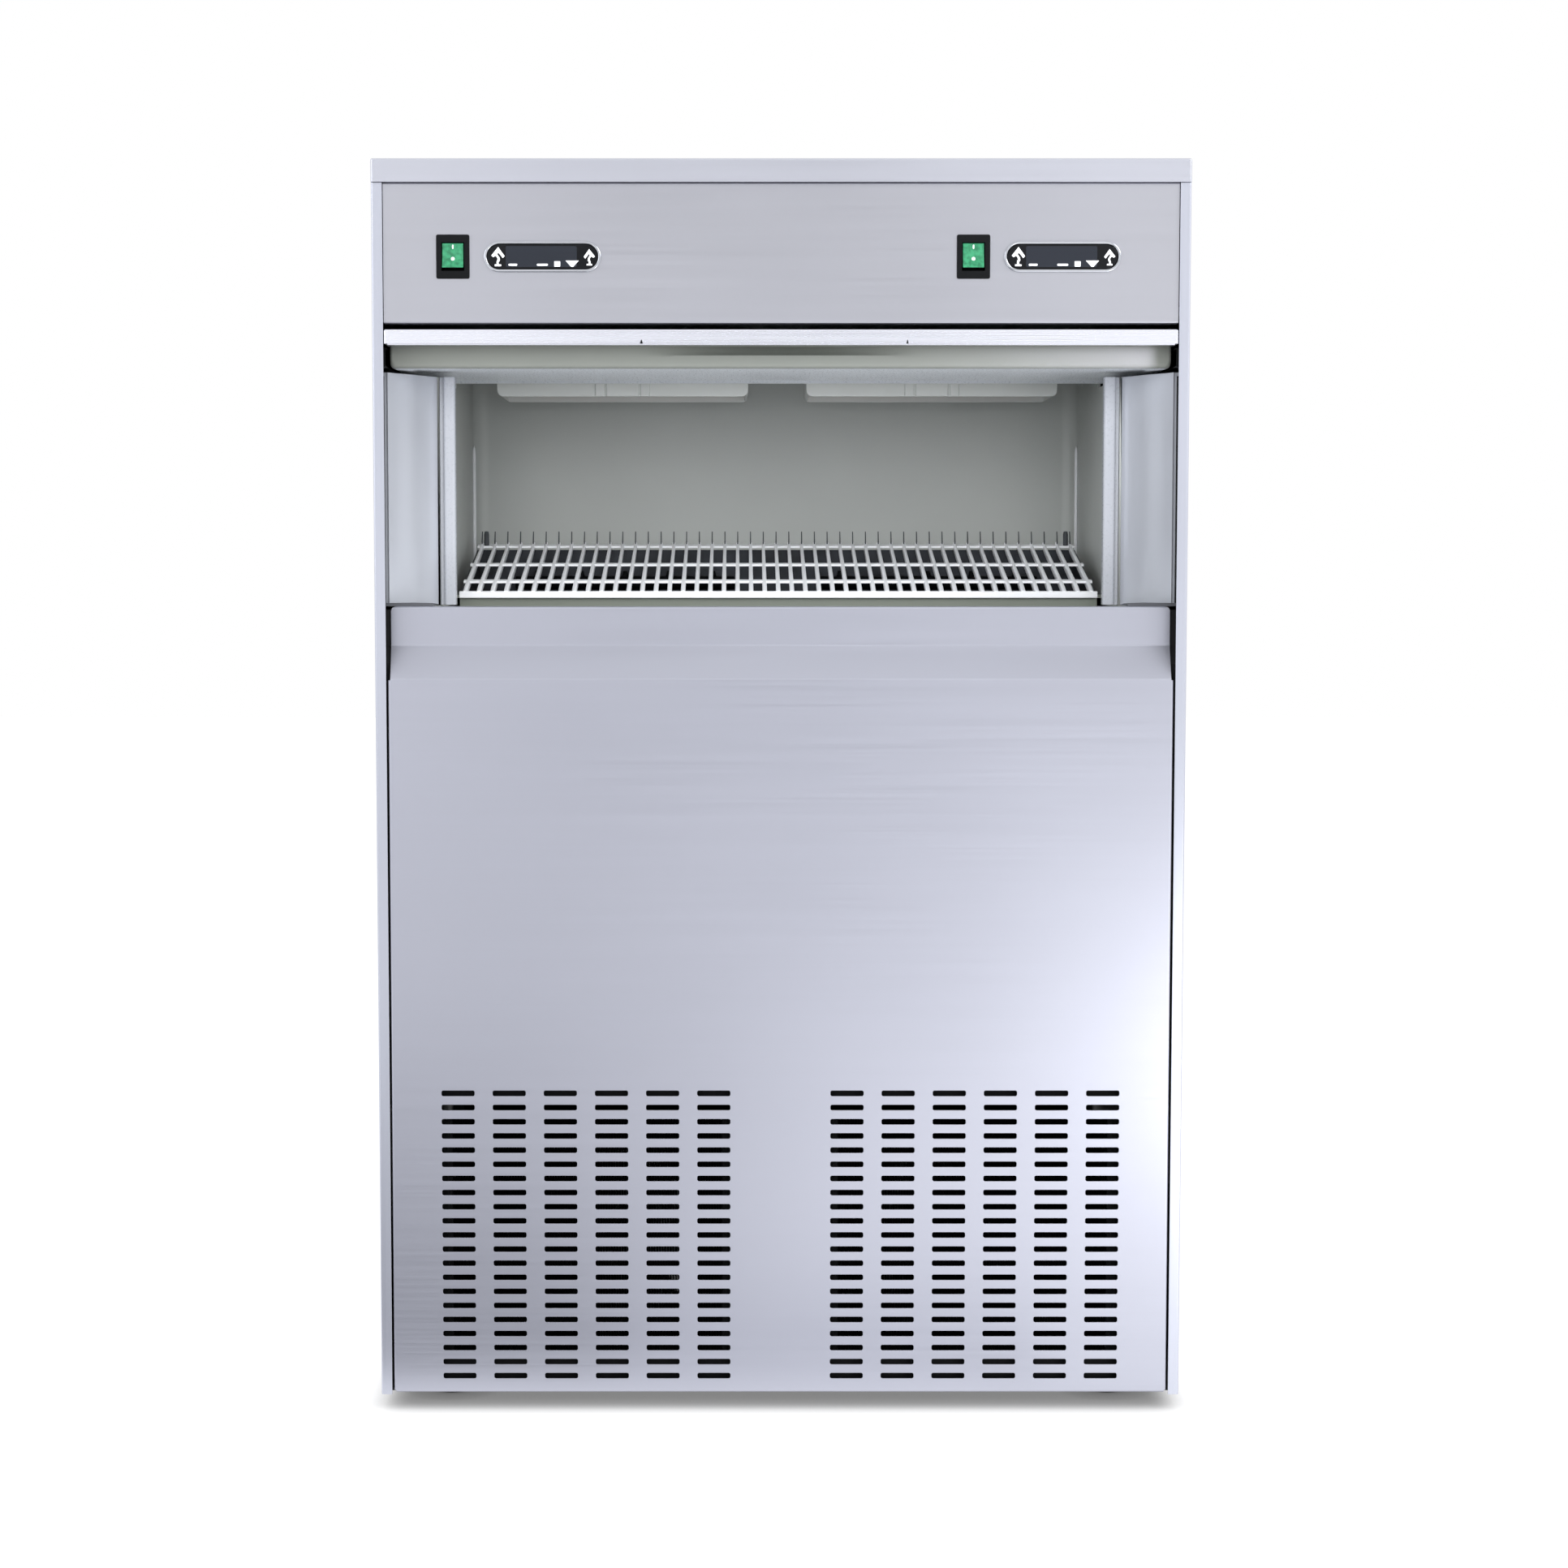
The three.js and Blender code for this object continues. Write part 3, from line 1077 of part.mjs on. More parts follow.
function fanMotor(side) {
  const x = side * condenserCentre;
  const front = shroudFront + SHROUD_DEPTH + MOTOR_GAP;
  const legFront = shroudFront + SHROUD_PLATE + SEAT;
  const strapHalf = CONDENSER_WIDTH / 2 - MOTOR_STRAP_INSET;
  const pieces = [
    rodY(MOTOR_RADIUS, x, front, front + MOTOR_LENGTH, fanZ),
    rodY(SHAFT_RADIUS, x, shroudFront + FAN_START, front, fanZ, SMALL_SIDES),
  ];
  for (const end of [-1, 1]) {
    const z = fanZ + end * MOTOR_STRAP_OFFSET;
    const half = MOTOR_STRAP_HEIGHT / 2;
    pieces.push(box(
      x - strapHalf, x + strapHalf, front, front + MOTOR_STRAP, z - half, z + half));
    for (const leg of [-1, 1]) {
      pieces.push(box(
        x + leg * strapHalf, x + leg * (strapHalf - MOTOR_LEG), legFront,
        front + MOTOR_STRAP, z - half, z + half,
      ));
    }
  }
  return joined(pieces);
}

function compressor(side) {
  const x = side * COMPRESSOR_CENTRE_SHARE * insideHalf;
  const y = COMPRESSOR_CENTRE_Y;
  const base = trayTop + COMPRESSOR_LIFT;
  const points = COMPRESSOR_SHARES.map(([radiusShare, heightShare]) =>
    new THREE.Vector2(radiusShare * COMPRESSOR_RADIUS, heightShare * COMPRESSOR_HEIGHT));
  const can = new THREE.LatheGeometry(points, FINE_SIDES);
  const half = COMPRESSOR_BASE_SIZE / 2;
  const plate = box(x - half, x + half, y - half, y + half, base, base + COMPRESSOR_BASE);
  const grommets = [[-1, -1], [-1, 1], [1, -1], [1, 1]].map(([a, b]) => rodZ(
    GROMMET_RADIUS, x + a * (half - GROMMET_INSET), y + b * (half - GROMMET_INSET),
    trayTop, base + COMPRESSOR_BASE / 2, HEX_SIDES,
  ));
  const body = solidOf(can.rotateX(Math.PI / 2).translate(x, y, base + COMPRESSOR_BASE / 2));
  return joined([plate, ...grommets, body]);
}

function electricalBox() {
  const bottom = ceilingBottom + SHEET + SEAT;
  const half = BOX_WIDTH / 2;
  const body = box(-half, half, BOX_START, BOX_START + BOX_DEPTH, bottom, bottom + BOX_HEIGHT);
  const lip = box(
    -half - BOX_WALL, half + BOX_WALL, BOX_START - BOX_WALL, BOX_START + BOX_DEPTH + BOX_WALL,
    bottom + BOX_HEIGHT - BOX_LID_LIP, bottom + BOX_HEIGHT + BOX_WALL,
  );
  return body.add(lip);
}

// Rear fittings

function inletValve() {
  const z = bodyBottom + INLET_RISE;
  const inside = serviceFace - SHEET - SEAT;
  return joined([
    rodY(INLET_RADIUS, inletX, inside - OVERRUN, serviceFace + INLET_REACH, z, SMALL_SIDES),
    rodY(INLET_NUT, inletX, serviceFace + SEAT, serviceFace + SEAT + INLET_NUT_DEPTH, z, HEX_SIDES),
    box(
      inletX - COIL_WIDTH / 2, inletX + COIL_WIDTH / 2, inside - COIL_DEPTH, inside,
      z - COIL_HEIGHT / 2, z + COIL_HEIGHT / 2,
    ),
  ]);
}

// The bin's drain pipe, from the liner's floor down to an elbow and out through the service panel.
function drainPipe() {
  const z = bodyBottom + DRAIN_RISE;
  const end = serviceFace + DRAIN_REACH;
  const pipe = joined([
    rodZ(DRAIN_RADIUS, 0, drainY, z, binFloor - SEAT, SMALL_SIDES),
    rodY(DRAIN_RADIUS, 0, drainY, end, z, SMALL_SIDES),
    rodZ(DRAIN_SOCKET, 0, drainY, z - DRAIN_SOCKET, z + DRAIN_BEND, SMALL_SIDES),
    rodY(DRAIN_SOCKET, 0, drainY, drainY + DRAIN_BEND, z, SMALL_SIDES),
  ]);
  return pipe.subtract(rodY(DRAIN_BORE, 0, end - DRAIN_REACH, end + OVERRUN, z, SMALL_SIDES));
}

function cordGland() {
  const z = bodyBottom + GLAND_RISE;
  const inside = serviceFace - SHEET;
  const body = joined([
    rodY(GLAND_RADIUS, glandX, inside - GLAND_NUT_DEPTH, serviceFace + GLAND_REACH, z, SMALL_SIDES),
    rodY(GLAND_NUT, glandX, serviceFace + SEAT, serviceFace + SEAT + GLAND_NUT_DEPTH, z, HEX_SIDES),
    rodY(GLAND_NUT, glandX, inside - SEAT - GLAND_NUT_DEPTH, inside - SEAT, z, HEX_SIDES),
  ]);
  const outerEnd = serviceFace + GLAND_REACH + OVERRUN;
  return body.subtract(
    rodY(GLAND_BORE, glandX, inside - 2 * GLAND_NUT_DEPTH, outerEnd, z, SMALL_SIDES));
}

// The assembly

add("lid_panel", lidPanel(), "steel");
for (const [name, side] of sides) add(`side_panel_${name}`, sidePanel(side), "steel");
add("rear_panel", rearPanel(), "galvanised");
add("service_panel", servicePanel(), "galvanised");
add("control_panel", controlPanel(), "steel");
add("front_panel", frontPanel(), "steel");
add("base_tray", baseTray(), "galvanised");
for (const [name, side] of sides) {
  const x = side * (halfWidth - FOOT_INSET_X);
  add(`foot_front_${name}`, foot(x, FOOT_INSET_Y), "rubber");
  add(`foot_rear_${name}`, foot(x, DEPTH - FOOT_INSET_Y), "rubber");
}
add("machine_deck", machineDeck(), "galvanised");
add("insulation_foam", insulation(), "foam");
add("bin_liner", binLiner(), "liner");
for (const [name, side] of sides) {
  add(`cheek_${name}`, cheek(side), "cheek");
  add(`edge_trim_${name}`, edgeTrim(side), "trim");
  add(`guide_rail_${name}`, guideRail(side), "white");
  add(`door_glide_${name}`, doorGlide(side), "white");
}
add("ceiling_panel", ceilingPanel(), "galvanised");
add("door_skin", doorSkin(), "steel");
add("door_liner", doorLiner(), "beige");
sides.forEach(([name], i) => {
  add(`switch_housing_${name}`, switchHousing(switchCentres[i]), "black");
  addRocker(`rocker_${name}`, switchCentres[i]);
  add(`display_bezel_${name}`, displayBezel(displayCentres[i]), "chrome");
  add(`display_window_${name}`, displayWindow(displayCentres[i]), "window");
});
add("ice_grid", iceGrid(), "white");
add("water_tank", waterTank(), "tank");
sides.forEach(([name, side], i) => {
  add(`water_pump_${name}`, waterPump(moduleCentres[i]), "black");
  add(`spray_bar_${name}`, sprayBar(moduleCentres[i]), "white");
  add(`evaporator_housing_${name}`, evaporatorHousing(moduleCentres[i]), "white");
  add(`evaporator_${name}`, evaporator(moduleCentres[i]), "copper");
  add(`condenser_${name}`, condenser(side), "aluminium");
  add(`fan_shroud_${name}`, fanShroud(side), "galvanised");
  add(`fan_${name}`, fan(side), "aluminium");
  add(`fan_motor_${name}`, fanMotor(side), "black");
  add(`compressor_${name}`, compressor(side), "black");
});
add("electrical_box", electricalBox(), "galvanised");
add("water_inlet_valve", inletValve(), "brass");
add("drain_pipe", drainPipe(), "white");
add("cord_gland", cordGland(), "black");

export default cabinet;
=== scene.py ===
import math
import bmesh
import bpy
import numpy as np
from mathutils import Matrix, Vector


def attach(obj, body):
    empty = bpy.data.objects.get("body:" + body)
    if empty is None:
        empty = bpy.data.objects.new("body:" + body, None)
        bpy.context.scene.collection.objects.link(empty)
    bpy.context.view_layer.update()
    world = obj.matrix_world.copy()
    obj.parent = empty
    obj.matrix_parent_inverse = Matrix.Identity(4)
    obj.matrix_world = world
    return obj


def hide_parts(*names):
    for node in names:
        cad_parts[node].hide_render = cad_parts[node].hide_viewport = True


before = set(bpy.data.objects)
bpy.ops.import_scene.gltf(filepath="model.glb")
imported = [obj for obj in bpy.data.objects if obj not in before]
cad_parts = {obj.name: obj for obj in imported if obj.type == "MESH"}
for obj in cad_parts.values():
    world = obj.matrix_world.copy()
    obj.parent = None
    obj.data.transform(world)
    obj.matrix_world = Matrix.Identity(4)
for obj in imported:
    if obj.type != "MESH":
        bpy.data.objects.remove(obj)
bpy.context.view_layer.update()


# Camera. It stands in front of the ice maker at the height of its opening and looks slightly down.
# Its place was fitted to the casing's edges, and the small shift sets the casing in the picture.
def shown(name, data):
    """An object put into the scene at the origin."""
    made = bpy.data.objects.new(name, data)
    bpy.context.scene.collection.objects.link(made)
    return made


camera_data = bpy.data.cameras.new("camera")
camera_data.sensor_width = 36
camera_data.lens = 68.22
camera_data.shift_x = 0.0273
camera = shown("camera", camera_data)
camera.location = (-0.036, -3.045, 0.783)
camera.rotation_euler = (math.radians(85.74), 0, 0)
bpy.context.scene.camera = camera
bpy.context.scene.view_settings.view_transform = "Standard"


# Studio. A pale floor under a white room, with soft lamps and three grey cards. Only what the camera,
# mirrors and glass see of the room is pure white; the light that it sheds is plainer.
def shader_material(name, colour=(0.8, 0.8, 0.8), roughness=0.5, metallic=0.0):
    """A material with its Principled shader's plain values set; gives it, its node tree and its shader."""
    material = bpy.data.materials.new(name)
    material.use_nodes = True
    shader = material.node_tree.nodes["Principled BSDF"]
    shader.inputs["Base Color"].default_value = (*colour, 1)
    shader.inputs["Roughness"].default_value = roughness
    shader.inputs["Metallic"].default_value = metallic
    return material, material.node_tree, shader


def wired(tree, kind, values=None, **settings):
    """A shader node with its settings made and its sockets set or linked; gives what it puts out."""
    made = tree.nodes.new("ShaderNode" + kind)
    for key, value in settings.items():
        setattr(made, key, value)
    for socket, value in (values or {}).items():
        if isinstance(value, bpy.types.NodeSocket):
            tree.links.new(value, made.inputs[socket])
        else:
            made.inputs[socket].default_value = value
    return made.outputs


def reckoned(tree, operation, *values):
    """One sum worked out by a node, from numbers or sockets."""
    return wired(tree, "Math", dict(enumerate(values)), operation=operation)[0]


def seen_directly(tree, share):
    """How far a ray counts as seen: the largest of Light Path's camera, glossy and transmission marks,
    times a share."""
    path = wired(tree, "LightPath")
    seen = reckoned(tree, "MAXIMUM", path["Is Camera Ray"], path["Is Glossy Ray"])
    seen = reckoned(tree, "MAXIMUM", seen, path["Is Transmission Ray"])
    return reckoned(tree, "MULTIPLY", seen, share)


def stage_sheet(name, corners, material):
    """A flat sheet of the studio, which isn't part of the ice maker."""
    mesh = bpy.data.meshes.new(name)
    mesh.from_pydata(corners, [], [[0, 1, 2, 3]])
    mesh.materials.append(material)
    made = shown(name, mesh)
    return made


def soft_lamp(name, place, aim, size, power, colour=(1, 1, 1), spread=180, in_gloss=True):
    """A square soft box that faces its aim, with its light held to a spread in degrees."""
    lamp_data = bpy.data.lights.new(name, "AREA")
    lamp_data.shape = "SQUARE"
    lamp_data.size = size
    lamp_data.energy = power
    lamp_data.color = colour
    lamp_data.spread = math.radians(spread)
    lamp = shown(name, lamp_data)
    lamp.location = place
    lamp.rotation_euler = (Vector(aim) - Vector(place)).to_track_quat("-Z", "Y").to_euler()
    lamp.visible_camera = False
    lamp.visible_glossy = in_gloss
    return lamp


world = bpy.data.worlds.new("white room")
world.use_nodes = True
bpy.context.scene.world = world
room = world.node_tree
room_light = room.nodes["Background"]
room_light.inputs["Color"].default_value = (0.96, 0.97, 1.0, 1)
room_light.inputs["Strength"].default_value = 0.85
room_white = wired(room, "Background", {"Color": (1, 1, 1, 1), "Strength": 1.0})[0]
room_mix = wired(room, "MixShader", {0: seen_directly(room, 1.0), 1: room_light.outputs[0], 2: room_white})[0]
room.links.new(room_mix, room.nodes["World Output"].inputs["Surface"])

floor_material, floor_tree, floor_shader = shader_material("pale floor", (0.88, 0.88, 0.89), 0.9)
# The floor's glow is darkened by ambient occlusion close to the ice maker: a painted contact shadow.
floor_contact_shadow = wired(floor_tree, "AmbientOcclusion", {"Distance": 0.03})["Color"]
floor_white = wired(floor_tree, "Emission", {"Color": floor_contact_shadow, "Strength": 1.25})[0]
floor_mix = wired(floor_tree, "MixShader", {
    0: seen_directly(floor_tree, 0.72), 1: floor_shader.outputs[0], 2: floor_white})[0]
floor_tree.links.new(floor_mix, floor_tree.nodes["Material Output"].inputs["Surface"])
floor_reach = 12.0
stage_sheet("studio_floor", [(-floor_reach, -floor_reach, 0), (floor_reach, -floor_reach, 0),
                             (floor_reach, floor_reach, 0), (-floor_reach, floor_reach, 0)], floor_material)

soft_lamp("main lamp", (2.6, -1.9, 2.6), (0, 0, 0.6), 1.6, 50)
soft_lamp("left lamp", (-2.4, -1.7, 1.6), (0, 0, 0.6), 1.4, 12, (0.93, 0.95, 1.0))
soft_lamp("low right lamp", (0.85, -1.4, 0.04), (0.45, -0.34, 0.06), 0.5, 5)
soft_lamp("front lamp", (0, -3.0, 1.7), (0, 0, 0.78), 1.5, 48, in_gloss=False)
soft_lamp("left fill", (-0.8, -0.95, 0.97), (-0.3, -0.31, 0.97), 0.3, 0.5, in_gloss=False)
soft_lamp("right fill", (0.8, -0.95, 0.97), (0.3, -0.31, 0.97), 0.3, 0.7, in_gloss=False)
soft_lamp("opening lamp", (0, -1.5, 1.0), (0, 0.13, 0.76), 0.4, 0.24, (0.85, 0.93, 1.0), 50, False)

# Only metal and gloss see the cards: two lie on the floor in front, and a paler one stands behind the
# camera and shades the middle of the steel a little.
card_lift = 0.002
for name, (x0, x1), (y0, y1), (z0, z1), tone in (
        ("floor_card", (-1.0, -0.15), (-2.3, -0.45), (card_lift, card_lift), 0.23),
        ("middle_card", (-0.15, 0.26), (-0.78, -0.45), (card_lift, card_lift), 0.58),
        ("standing_card", (-0.33, 0.37), (-3.3, -3.3), (0.0, 2.4), 0.42)):
    card = stage_sheet(name, [(x0, y0, z0), (x1, y0, z0), (x1, y1, z1), (x0, y1, z1)],
                       shader_material(name, (tone, tone, tone * 1.02), 0.9)[0])
    card.visible_camera = card.visible_diffuse = card.visible_shadow = card.visible_transmission = False


# Lid. A flat sheet of brushed stainless steel folded down on all four sides, with its lower edges
# turned in. It lies on the side panels and covers their upper edges.
cabinet_middle = 345.0


def place(x, y, z):
    """Points in metres round the cabinet's centre, from millimetres with y counted from the lid's front."""
    return np.stack(np.broadcast_arrays(x, y - cabinet_middle, z), axis=-1) * 0.001


def quarter_turns(steps):
    """The angles of four quarter circles, from the corner at the lower left anticlockwise."""
    return np.radians(np.array([180.0, 270.0, 0.0, 90.0])[:, None] + 90.0 * np.linspace(0, 1, steps + 1))


def corner_ring(x0, x1, y0, y1, radius, steps=4):
    """A rectangle with rounded corners, anticlockwise: four quarter circles c + r (cos a, sin a)."""
    radius = max(radius, 1e-3)
    angle = quarter_turns(steps)
    centre_x = np.array([x0 + radius, x1 - radius, x1 - radius, x0 + radius])[:, None]
    centre_y = np.array([y0 + radius, y0 + radius, y1 - radius, y1 - radius])[:, None]
    return np.stack([centre_x + radius * np.cos(angle), centre_y + radius * np.sin(angle)], -1).reshape(-1, 2)


def cells_of(index):
    """The four neighbours round each cell of a grid of point numbers."""
    return np.stack([index[:-1, :-1], index[:-1, 1:], index[1:, 1:], index[1:, :-1]], -1)


def skin(points, close_columns=False, close_rows=False, cap_first=False, cap_last=False):
    """A grid of points as a surface: one quad between each four neighbours, and a flat cap at an end."""
    index = np.arange(points.shape[0] * points.shape[1]).reshape(points.shape[:2])
    first, last = index[0][::-1].tolist(), index[-1].tolist()
    if close_rows:
        index = np.vstack([index, index[:1]])
    if close_columns:
        index = np.hstack([index, index[:, :1]])
    faces = cells_of(index).reshape(-1, 4).tolist() + [first] * cap_first + [last] * cap_last
    return points.reshape(-1, 3), faces


def tray(x0, x1, y0, y1, z_open, z_face, corner, fold, lip=0.0):
    """An open tray: rings of one rounded rectangle, drawn in as they climb the wall and turn over the
    fold by r (1 - cos a) inwards and r (1 - sin a) short of the face."""
    up = math.copysign(1.0, z_face - z_open)
    arc = np.linspace(0, math.pi / 2, 5)
    inset = np.concatenate([[0.0], fold * (1 - np.cos(arc)), [fold + 2.0]])
    height = np.concatenate([[z_open], z_face - up * fold * (1 - np.sin(arc)), [z_face]])
    if lip:
        inset = np.concatenate([[lip], inset])
        height = np.concatenate([[z_open], height])
    rings = np.stack([corner_ring(x0 + d, x1 - d, y0 + d, y1 - d, max(corner - d, 0.05)) for d in inset])
    return skin(place(rings[..., 0], rings[..., 1], height[:, None]), True, cap_last=True)


def eased(made, width, angle=38):
    """Rounds edges sharper than an angle by a width in millimetres, and shades flats flat and curves
    smooth."""
    if width:
        bevel = made.modifiers.new("eased edges", "BEVEL")
        bevel.width = width * 0.001
        bevel.segments = 2
        bevel.limit_method = "ANGLE"
        bevel.angle_limit = math.radians(angle)
    made.data.polygons.foreach_set("use_smooth", np.ones(len(made.data.polygons), bool))
    made.modifiers.new("shading", "WEIGHTED_NORMAL").keep_sharp = True
    return made


def piece(name, *shells, wall=0.0, ease=0.0, middle=None, facing=1):
    """One object from surfaces; a third entry in a surface is the number of its finish. Doubles are
    merged and faces turned outwards: an open sheet faces away from its middle, or towards it with
    facing -1, and its wall is put behind it."""
    points, faces, finish_of, used = [], [], [], 0
    for shell_points, shell_faces, *finish in shells:
        points.append(shell_points)
        faces += [[corner + used for corner in face] for face in shell_faces]
        finish_of += (finish or [0]) * len(shell_faces)
        used += len(shell_points)
    mesh = bpy.data.meshes.new(name)
    mesh.from_pydata(np.concatenate(points), [], faces)
    mesh.polygons.foreach_set("material_index", finish_of)
    shape = bmesh.new()
    shape.from_mesh(mesh)
    bmesh.ops.remove_doubles(shape, verts=shape.verts, dist=1e-6)
    bmesh.ops.dissolve_degenerate(shape, dist=1e-7, edges=shape.edges)
    bmesh.ops.recalc_face_normals(shape, faces=shape.faces)
    if middle is not None:
        centre = Vector(place(*middle))
        outwards = sum(f.normal.dot(f.calc_center_median() - centre) * f.calc_area() for f in shape.faces)
        if outwards * facing < 0:
            bmesh.ops.reverse_faces(shape, faces=shape.faces)
    shape.to_mesh(mesh)
    shape.free()
    made = shown(name, mesh)
    if wall:
        solidify = made.modifiers.new("wall", "SOLIDIFY")
        solidify.thickness = wall * 0.001
        solidify.use_even_offset = True
    return eased(made, ease)


def fitted(made, materials, slot, *nodes, body="cabinet"):
    """A piece's finishes, its record slot, which is not used, the body it moves with, and the CAD nodes it stands for.
    """
    for material in materials if isinstance(materials, list) else [materials]:
        made.data.materials.append(material)
    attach(made, body)
    if nodes:
        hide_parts(*nodes)


def srgb(red, green, blue):
    """A screen colour out of 255 as the light it stands for: ((c + 0.055) / 1.055) to the power 2.4."""
    value = np.array([red, green, blue]) / 255
    return (*np.where(value < 0.04045, value / 12.92, ((value + 0.055) / 1.055) ** 2.4), 1.0)


def ranged(tree, value, from_low, from_high, to_low, to_high):
    """A value moved from one range to another in proportion, and held to its ends."""
    return wired(tree, "MapRange", {"Value": value, "From Min": from_low, "From Max": from_high,
                                    "To Min": to_low, "To Max": to_high})[0]


def toned(tree, colour, *parts):
    """A colour times 1 plus the sum of each part times its amount."""
    tone = 1.0
    for part, amount in parts:
        tone = reckoned(tree, "MULTIPLY_ADD", part, amount, tone)
    return wired(tree, "VectorMath", {0: colour, "Scale": tone}, operation="SCALE")[0]


def finish_group(name, inputs, effect):
    """A shader group with named inputs. From them and the object coordinates its effect works out the
    colour, the roughness and the height of a fine relief."""
    group = bpy.data.node_groups.new(name, "ShaderNodeTree")
    kinds = {1: "NodeSocketFloat", 3: "NodeSocketVector", 4: "NodeSocketColor"}
    for label, value in inputs.items():
        socket = group.interface.new_socket(name=label, in_out="INPUT", socket_type=kinds[np.size(value)])
        socket.default_value = value
    results = {"Colour": 4, "Roughness": 1, "Height": 1}
    for label, size in results.items():
        group.interface.new_socket(name=label, in_out="OUTPUT", socket_type=kinds[size])
    given = group.nodes.new("NodeGroupInput").outputs
    ends = group.nodes.new("NodeGroupOutput").inputs
    for label, result in zip(results, effect(group, given, wired(group, "TexCoord")["Object"])):
        group.links.new(result, ends[label])
    return group


def brushed_effect(tree, given, spot):
    """Fine scratches far longer than they are wide, and slow clouds in the tone, each from -1 to 1."""
    stretched = wired(tree, "VectorMath", {0: spot, 1: given["Grain Scale"]}, operation="MULTIPLY")[0]
    grain = wired(tree, "TexNoise", {"Vector": stretched, "Scale": 1.0, "Detail": 3.0, "Roughness": 0.6})["Fac"]
    clouds = wired(tree, "TexNoise", {
        "Vector": spot, "Scale": given["Cloud Scale"], "Detail": 2.0, "Roughness": 0.45})["Fac"]
    colour = toned(tree, given["Colour"],
                   (ranged(tree, clouds, 0.3, 0.7, -1.0, 1.0), given["Cloud Amount"]),
                   (ranged(tree, grain, 0.25, 0.75, -1.0, 1.0), given["Scratch Amount"]))
    return colour, ranged(tree, grain, 0.3, 0.7, given["Low Roughness"], given["High Roughness"]), grain


brushed = finish_group("brushed_steel", {
    "Colour": (0.5, 0.5, 0.55, 1), "Grain Scale": (3, 900, 900), "Cloud Scale": 2.2, "Cloud Amount": 0.08,
    "Scratch Amount": 0.05, "Low Roughness": 0.3, "High Roughness": 0.42}, brushed_effect)


def grouped_material(name, group, values, metallic=0.0, bump=0.0, bump_reach=0.0002, plain=None):
    """A Principled material fed by a finish group: its colour, roughness and the height of a fine bump."""
    material, tree, shader = shader_material(name, metallic=metallic)
    finish = wired(tree, "Group", values, node_tree=group)
    tree.links.new(finish["Colour"], shader.inputs["Base Color"])
    tree.links.new(finish["Roughness"], shader.inputs["Roughness"])
    if bump:
        relief = wired(tree, "Bump", {"Strength": bump, "Distance": bump_reach, "Height": finish["Height"]})[0]
        tree.links.new(relief, shader.inputs["Normal"])
    for socket, value in (plain or {}).items():
        shader.inputs[socket].default_value = value
    return material


def steel(name, colour, grain_scale, clouds=0.06, cloud_scale=2.4, low=0.3, high=0.42):
    """Brushed stainless steel, its grain running along the axis with the smallest scale."""
    return grouped_material(name, brushed, {
        "Colour": srgb(*colour), "Grain Scale": grain_scale, "Cloud Scale": cloud_scale,
        "Cloud Amount": clouds, "Scratch Amount": 0.012, "Low Roughness": low, "High Roughness": high,
    }, metallic=0.85, bump=0.05, bump_reach=0.00006, plain={"Anisotropic": 0.3})


casing_half = 369.0
lid_top = 1145.0
lid_edge = 1124.0
sheet = 1.2
lid_steel = steel("lid_steel", (197, 199, 209), (4, 700, 700))
lid_tray = tray(-casing_half, casing_half, 0, 2 * cabinet_middle, lid_edge, lid_top, 2.0, 1.8, lip=12)
fitted(piece("lid", lid_tray, wall=sheet, ease=0.25, middle=(0, 345, 1000)), lid_steel, "steel", "lid_panel")


# Side panels. One upright sheet of stainless steel on each side, its front edge folded in as the
# narrow strip beside the door and its rear edge folded in behind the rear panel.
def folded(corners, radius, steps=4):
    """A line through the corners, each inner corner turned on an arc: from p - d t the point moves
    r sin(a) along d and r (1 - cos(a)) to the inside, where t is r times the tangent of half the turn."""
    corners = np.asarray(corners, float)
    along = np.diff(corners, axis=0)
    along /= np.linalg.norm(along, axis=1, keepdims=True)
    before, after = along[:-1], along[1:]
    turn = np.arctan2(before[:, 0] * after[:, 1] - before[:, 1] * after[:, 0], (before * after).sum(1))
    inward = np.stack([-before[:, 1], before[:, 0]], 1) * np.sign(turn)[:, None]
    radius = np.broadcast_to(np.asarray(radius, float), turn.shape)
    start = corners[1:-1] - before * (radius * np.tan(abs(turn) / 2))[:, None]
    angle = abs(turn)[:, None] * np.linspace(0, 1, steps + 1)
    arcs = (start[:, None]
            + before[:, None] * (radius[:, None] * np.sin(angle))[..., None]
            + inward[:, None] * (radius[:, None] * (1 - np.cos(angle)))[..., None])
    return np.concatenate([corners[:1], arcs.reshape(-1, 2), corners[-1:]])


def axes(along, first, second, level):
    """The level put on one axis, and the two others on the remaining axes in their order."""
    return {"x": (level, first, second), "y": (first, level, second), "z": (first, second, level)}[along]


def carried(path, start, end, along="z", stations=2, closed=False):
    """A flat path carried straight along an axis; a closed outline is capped at both ends."""
    path = np.asarray(path, float)
    ends = np.linspace(start, end, stations)[:, None]
    points = place(*axes(along, path[None, :, 0], path[None, :, 1], ends))
    return skin(points, closed, cap_first=closed, cap_last=closed)


sides = (("left", -1), ("right", 1))
panel_bottom = 15.0
panel_top = 1123.7
side_steel = steel("side_steel", (196, 199, 211), (700, 700, 4))
for name, side in sides:
    side_path = folded([[359, 2], [casing_half, 2], [casing_half, 688], [354, 688]], 1.8) * [side, 1]
    fitted(piece("side_" + name, carried(side_path, panel_bottom, panel_top, stations=8),
                 wall=sheet, ease=0.25, middle=(side * 300, 345, 600)), side_steel, "steel", "side_panel_" + name)


